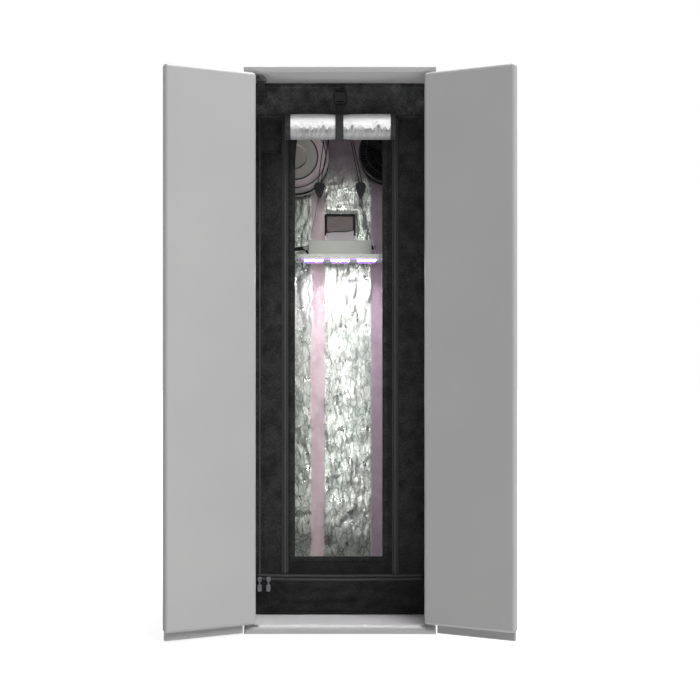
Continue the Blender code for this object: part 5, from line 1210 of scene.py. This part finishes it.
# %% [markdown]
# The diodes sit in three blocks under the plate, each a clear moulding with a lens for every diode. A block is
# a rounded slab whose sides lean in, and a lens is a low dome as the screws' heads are.

# %% Diode blocks
def slab(low, high, radius, lean=0.0, steps=6):
    """A rounded slab, open to a cap at both ends, as rings from its foot to its top.

    A ring is a rectangle with rounded corners; near both ends the rings shrink along a quarter circle.
    """
    low, high = np.asarray(low, float), np.asarray(high, float)
    centre, half = (low + high) / 2, (high - low) / 2
    t = np.linspace(0, np.pi / 2, steps)
    shrink = np.concatenate([radius * (1 - np.sin(t)), radius * (1 - np.cos(t[1:]))])[:, None]
    foot, top = -half[2] + radius * (1 - np.cos(t)), half[2] - radius * (1 - np.sin(t[1:]))
    height = np.concatenate([foot, top])[:, None]
    corner = np.radians(np.concatenate([np.linspace(a, a + 90, steps) for a in (0, 90, 180, 270)]))
    quarter = np.radians(np.repeat([45, 135, 225, 315], steps))
    inset = shrink + lean * (half[2] - height) / (2 * half[2])
    x = np.sign(np.cos(quarter)) * (half[0] - radius - inset) + radius * np.cos(corner)
    y = np.sign(np.sin(quarter)) * (half[1] - radius - inset) + radius * np.sin(corner)
    return points_at(centre[0] + x, centre[1] + y, centre[2] + height)


BOARD_X = 0.134
board_top = led_high.z
board = slab((-BOARD_X, -0.101, board_top - 0.003), (BOARD_X, 0.081, board_top), 0.001)
piece("diode_board", board, board_glow, "lamp", ("led_board",), sharp_deg=35, **ROD)
middles = [i * 2 * BOARD_X / 3 for i in (-1, 0, 1)]
blocks = [slab((x - 0.033, -0.085, led_low.z), (x + 0.033, 0.065, board_top - 0.002), 0.0032, 0.003) for x in middles]
piece("diode_blocks", blocks, glow, "lamp", sharp_deg=35, **ROD)
lenses = [(x + (i - 2) * 0.011, LAMP_Y + (j - 5.5) * 0.0115, led_low.z + 0.0004)
          for x in middles for j in range(12) for i in range(5)]
piece("diode_lenses", turned(dome(0.0034, 0.0012, 4), lenses, "-z", 12), glow, "lamp", flip=True, **ROD)


# %% [markdown]
# ## Rope ratchets
# A ratchet is a flat spade-shaped shell with a wheel inside. The CAD body keeps its eye for the wire; the
# round cover over the wheel and its screw are turned shapes on both faces.

# %% Ratchets
cover = rounded_profile([(0.0120, -0.0010), (0.0120, 0.0012), (0.0085, 0.0016), (0.0080, 0.0010), (0.0034, 0.0010),
                         (0.0030, 0.0018), (0.0001, 0.0020)], 0.0005)
for word, side in (("left", -1), ("right", 1)):
    skinned(black_plastic, word + "_rope_ratchet", angle_deg=30)
    low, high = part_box(word + "_rope_ratchet")
    for face, y, way in (("front", low.y, -1), ("back", high.y, 1)):
        points = turned(cover * (1, way), (side * RATCHET_X, y, high.z - 0.019), sides=40)
        piece(f"{word}_{face}_cover", points, black_plastic, "lamp", sharp_deg=50, flip=way < 0, **ROD)


# %% [markdown]
# ## Carbon filter
# From the front the filter is a pressed end cap: the drum's steel rim, a broad sloping ring, a dark ring where
# two parts meet and a shallow dish in the middle. It is a turned profile with its corners rounded. The body
# behind is a fleece sleeve over a perforated drum.

# %% Filter
FILTER = (FILTER_X, 0.030, FILTER_Z)
R = 0.1175
cap_profile = rounded_profile([
    (0.0001, 0.0095), (0.0001, 0.0062), (0.0300, 0.0060), (0.0385, 0.0058), (0.0410, 0.0010), (0.0440, 0.0002),
    (0.0600, 0.0016), (0.0720, 0.0012), (0.0758, 0.0004), (0.0764, 0.0046), (0.0800, 0.0046), (0.0808, 0.0002),
    (0.0870, 0.0018), (0.0990, 0.0020), (0.1040, 0.0004), (0.1048, 0.0030), (0.1066, 0.0030), (0.1074, 0.0006),
    (0.1120, 0.0002), (0.1165, 0.0006), (R, 0.0028), (R, 0.0095), (0.0001, 0.0099)], 0.0010)
cap = piece("filter_cap", turned(cap_profile, FILTER, sides=120), filter_plastic, replaces=("filter_end_cap",),
            sharp_deg=45, loop_columns=True)
for finish in (filter_ring, filter_rim, rim_steel):
    cap.data.materials.append(finish.material)
ring_mid = (cap_profile[:-1, 0] + cap_profile[1:, 0]) / 2
kind = np.select([ring_mid > 0.1070, ring_mid > 0.1042, ring_mid > 0.0806, ring_mid > 0.0758], [3, 1, 2, 1], 0)
paint_quads(cap, np.repeat(kind, 120))
drum_profile = rounded_profile([
    (0.0001, 0.0104), (R - 0.006, 0.0104), (R, 0.0110), (R, 0.0200), (0.1130, 0.0220), (0.1125, 0.090),
    (0.1130, 0.152), (R, 0.1535), (R, 0.1645), (0.0600, 0.1647), (0.0001, 0.1647)], 0.0010, 4)
piece("filter_drum", turned(drum_profile, FILTER, sides=120), filter_fleece, replaces=("filter_body",), sharp_deg=45,
      loop_columns=True)
skinned(black_plastic, "duct_fan", angle_deg=35)


# %% [markdown]
# The filter hangs in webbing: one band is drawn tight round the drum and another goes up from it, over the
# rear bar and back. Both are the same flat band, so one function carries it along either path.

# %% Filter's strap
BAND_R, BAND_Y, BAND_WIDTH = 0.1146, 0.150, 0.030


def band(name, path, held, rests_on, rows=None, length=None, **shape):
    """Webbing that lies along the filter's axis, carried along a path of (x, z) points."""
    y = BAND_Y + np.linspace(-1, 1, 9) * BAND_WIDTH / 2
    length = length or length_of(path)
    made = piece(name, points_at(path[:, :1], y, path[:, 1:])[:rows], webbing, thick=0.0015, offset=0.0,
                 size=(BAND_WIDTH, length), **shape)


turn = np.linspace(0, 2 * np.pi, 97)
band("filter_band", points_at(FILTER_X + BAND_R * np.cos(turn), FILTER_Z + BAND_R * np.sin(turn)), "stretched",
     "filter_drum", -1, 2 * np.pi * BAND_R, replaces=("filter_strap",), loop_rows=True)
reach, foot = OVER_BAR + 0.0009, FILTER_Z + BAND_R + 0.0012
turn = np.radians(np.linspace(180, 0, 25))
over = points_at(FILTER_X + reach * np.cos(turn), BAR_Z + reach * np.sin(turn))
hanger = np.vstack([[(FILTER_X - reach, foot)], over, [(FILTER_X + reach, foot)]])
band("filter_hanger", divided(hanger, 0.004), "hung", "rear_hanging_bar_skin")


# %% [markdown]
# ## The round fan
# A clip fan with a plastic cage: a rim, a ring of thin fins near it, an inner ring and a hub. The fins are
# slats that run outward along the cage's dome, so one slat is a small grid and the cage repeats it.

# %% Fan cage
FAN_X, FAN_Z = 0.168, 1.5815
FAN_R = 0.103
CAGE_Y = 0.020


def cage_depth(radius):
    """The dome of the cage: a shallow parabola in front of the rim."""
    return CAGE_Y - 0.008 * (1 - (radius / FAN_R) ** 2)


def cage_ring(name, radius, width, thick, replaces=()):
    """A ring of the cage: a rounded rectangular section turned round the fan's axis."""
    squarer = [np.sign(v) * np.abs(v) ** 0.5 for v in (np.cos(circle(16)), np.sin(circle(16)))]
    section = points_at(radius + width / 2 * squarer[0], cage_depth(radius) + thick / 2 * squarer[1])
    piece(name, turned(section, (FAN_X, 0, FAN_Z)), black_plastic, "fan_head", replaces, loop_rows=True,
          loop_columns=True, flip=True)


def slats(name, count, radii, thick, deep, depth, twist=0.0, finish=black_plastic):
    """Radial slats: along the radius a thin upright section at a depth, turned a little as it goes."""
    r, t = radii[None, :, None], circle(6)
    angle = 2 * np.pi * np.arange(count)[:, None, None] / count + twist * ((r - radii[0]) / np.ptp(radii))
    side = thick / 2 * np.cos(t)
    points = points_at(FAN_X + r * np.cos(angle) - side * np.sin(angle), depth + deep / 2 * np.sin(t),
                       FAN_Z + r * np.sin(angle) + side * np.cos(angle))
    piece(name, points, finish, "fan_head", **ROD)


def fan_turned(name, profile, y, sides, body="fan_head", **shape):
    """A turned piece on the fan's axis."""
    piece(name, turned(profile, (FAN_X, y, FAN_Z), sides=sides), black_plastic, body, sharp_deg=45,
          loop_columns=True, **shape)


cage_ring("fan_rim", FAN_R - 0.0032, 0.0062, 0.0060, ("fan_guard",))
cage_ring("fan_fin_ring", 0.0765, 0.0040, 0.0040)
cage_ring("fan_middle_ring", 0.0520, 0.0030, 0.0034)
cage_ring("fan_hub_ring", 0.0265, 0.0050, 0.0042)
for name, count, inner, outer, thick, deep, twist, finish in (
        ("fan_fins", 66, 0.0775, FAN_R - 0.0045, 0.0017, 0.0046, 0.0, glint_painted_fin_plastic),
        ("fan_slats", 33, 0.0270, 0.0760, 0.0015, 0.0036, 0.35, black_plastic)):
    radii = np.linspace(inner, outer, 8)
    slats(name, count, radii, thick, deep, cage_depth(radii)[None, :, None], twist, finish)
hub = rounded_profile([(0.0262, 0.0042), (0.0262, 0.0004), (0.0220, -0.0006), (0.0150, -0.0002), (0.0140, -0.0010),
                       (0.0001, -0.0014)], 0.0008)
fan_turned("fan_cap", np.vstack([hub, [(0.0001, 0.0042)], hub[:1]]), 0.0124, 64)


# %% [markdown]
# Behind the cage turn five twisted blades on a hub. The housing is closed at its back by the motor's can
# inside a second ring of slats, which widen outwards so that they leave thin gaps.

# %% Fan blades and housing
HUB_Y, HUB_R, BLADE_R = 0.0543, 0.0235, 0.0945
MOTOR_R = 0.046  # where the rear slats start
skinned(black_plastic, "fan_housing", "fan_clip", angle_deg=35)


def blade_grid(count=5, rows=16, columns=14):
    """Twisted blades: along the radius the chord widens and turns from steep to shallow; across it bows."""
    share, across_share = np.meshgrid(np.linspace(0, 1, rows), np.linspace(-0.5, 0.5, columns), indexing="ij")
    r = HUB_R + (BLADE_R - HUB_R) * share
    pitch_angle = np.radians(50 - 26 * share)
    along = 0.022 * (1 + share) * across_share * (1 - 0.25 * np.maximum(share - 0.8, 0) * 5)
    bow = 0.0030 * (1 - 4 * across_share**2)
    angle = 2 * np.pi * np.arange(count)[:, None, None] / count + along * np.cos(pitch_angle) / r
    return points_at(FAN_X + r * np.cos(angle), HUB_Y + along * np.sin(pitch_angle) - bow, FAN_Z + r * np.sin(angle))


piece("fan_blade_set", blade_grid(), black_plastic, "fan_rotor", ("fan_blades",), 0.0016, 0.0)
radii = np.linspace(MOTOR_R, 0.0975, 6)
slats("fan_rear_slats", 96, radii, 0.0030 * (radii / MOTOR_R)[None, :, None], 0.0040, 0.1500, 0.30)
motor = rounded_profile([(0.0001, 0.0), (0.044, 0.0), (0.048, 0.004), (0.048, 0.044), (0.0001, 0.044)], 0.003)
fan_turned("fan_motor_can", motor, 0.1080, 64)
rotor = rounded_profile([(0.0001, 0.0110), (HUB_R, 0.0110), (HUB_R, -0.0090), (0.0200, -0.0110), (0.0001, -0.0112)],
                        0.003)
fan_turned("fan_rotor_hub", rotor, HUB_Y, 48, "fan_rotor", flip=True)


# %% [markdown]
# ## Zip sliders
# The sliders and their pulls are small grey castings. The CAD shapes have the right outlines; softened edges
# make them catch the light as castings do.

# %% Sliders and tabs
skinned(zip_metal, "left_zip_slider", "right_zip_slider", "left_zip_tab", "right_zip_tab", angle_deg=35, bevel=0.0003)


# %% [markdown]
# ## Floor
# The floor is a plain pale board that keeps the cabinet's soft shadow. For the camera it is lifted to the
# white of the background.

# %% Floor
floor_paint = Finish("pale_floor", None, (0.20, 0.20, 0.20), 0.9)
seen = floor_paint.node("LightPath").outputs["Is Camera Ray"]
floor_paint.set("Emission Color", (1, 1, 1, 1)).set("Emission Strength", floor_paint.levels(seen, 0.0, 0.80))
mesh = bpy.data.meshes.new("studio_floor")
mesh.from_pydata([(-30, -30, -0.0005), (30, -30, -0.0005), (30, 30, -0.0005), (-30, 30, -0.0005)], [], [(0, 1, 2, 3)])
mesh.materials.append(floor_paint.material)
floor = put_in("studio_floor", mesh)
floor.visible_shadow = False
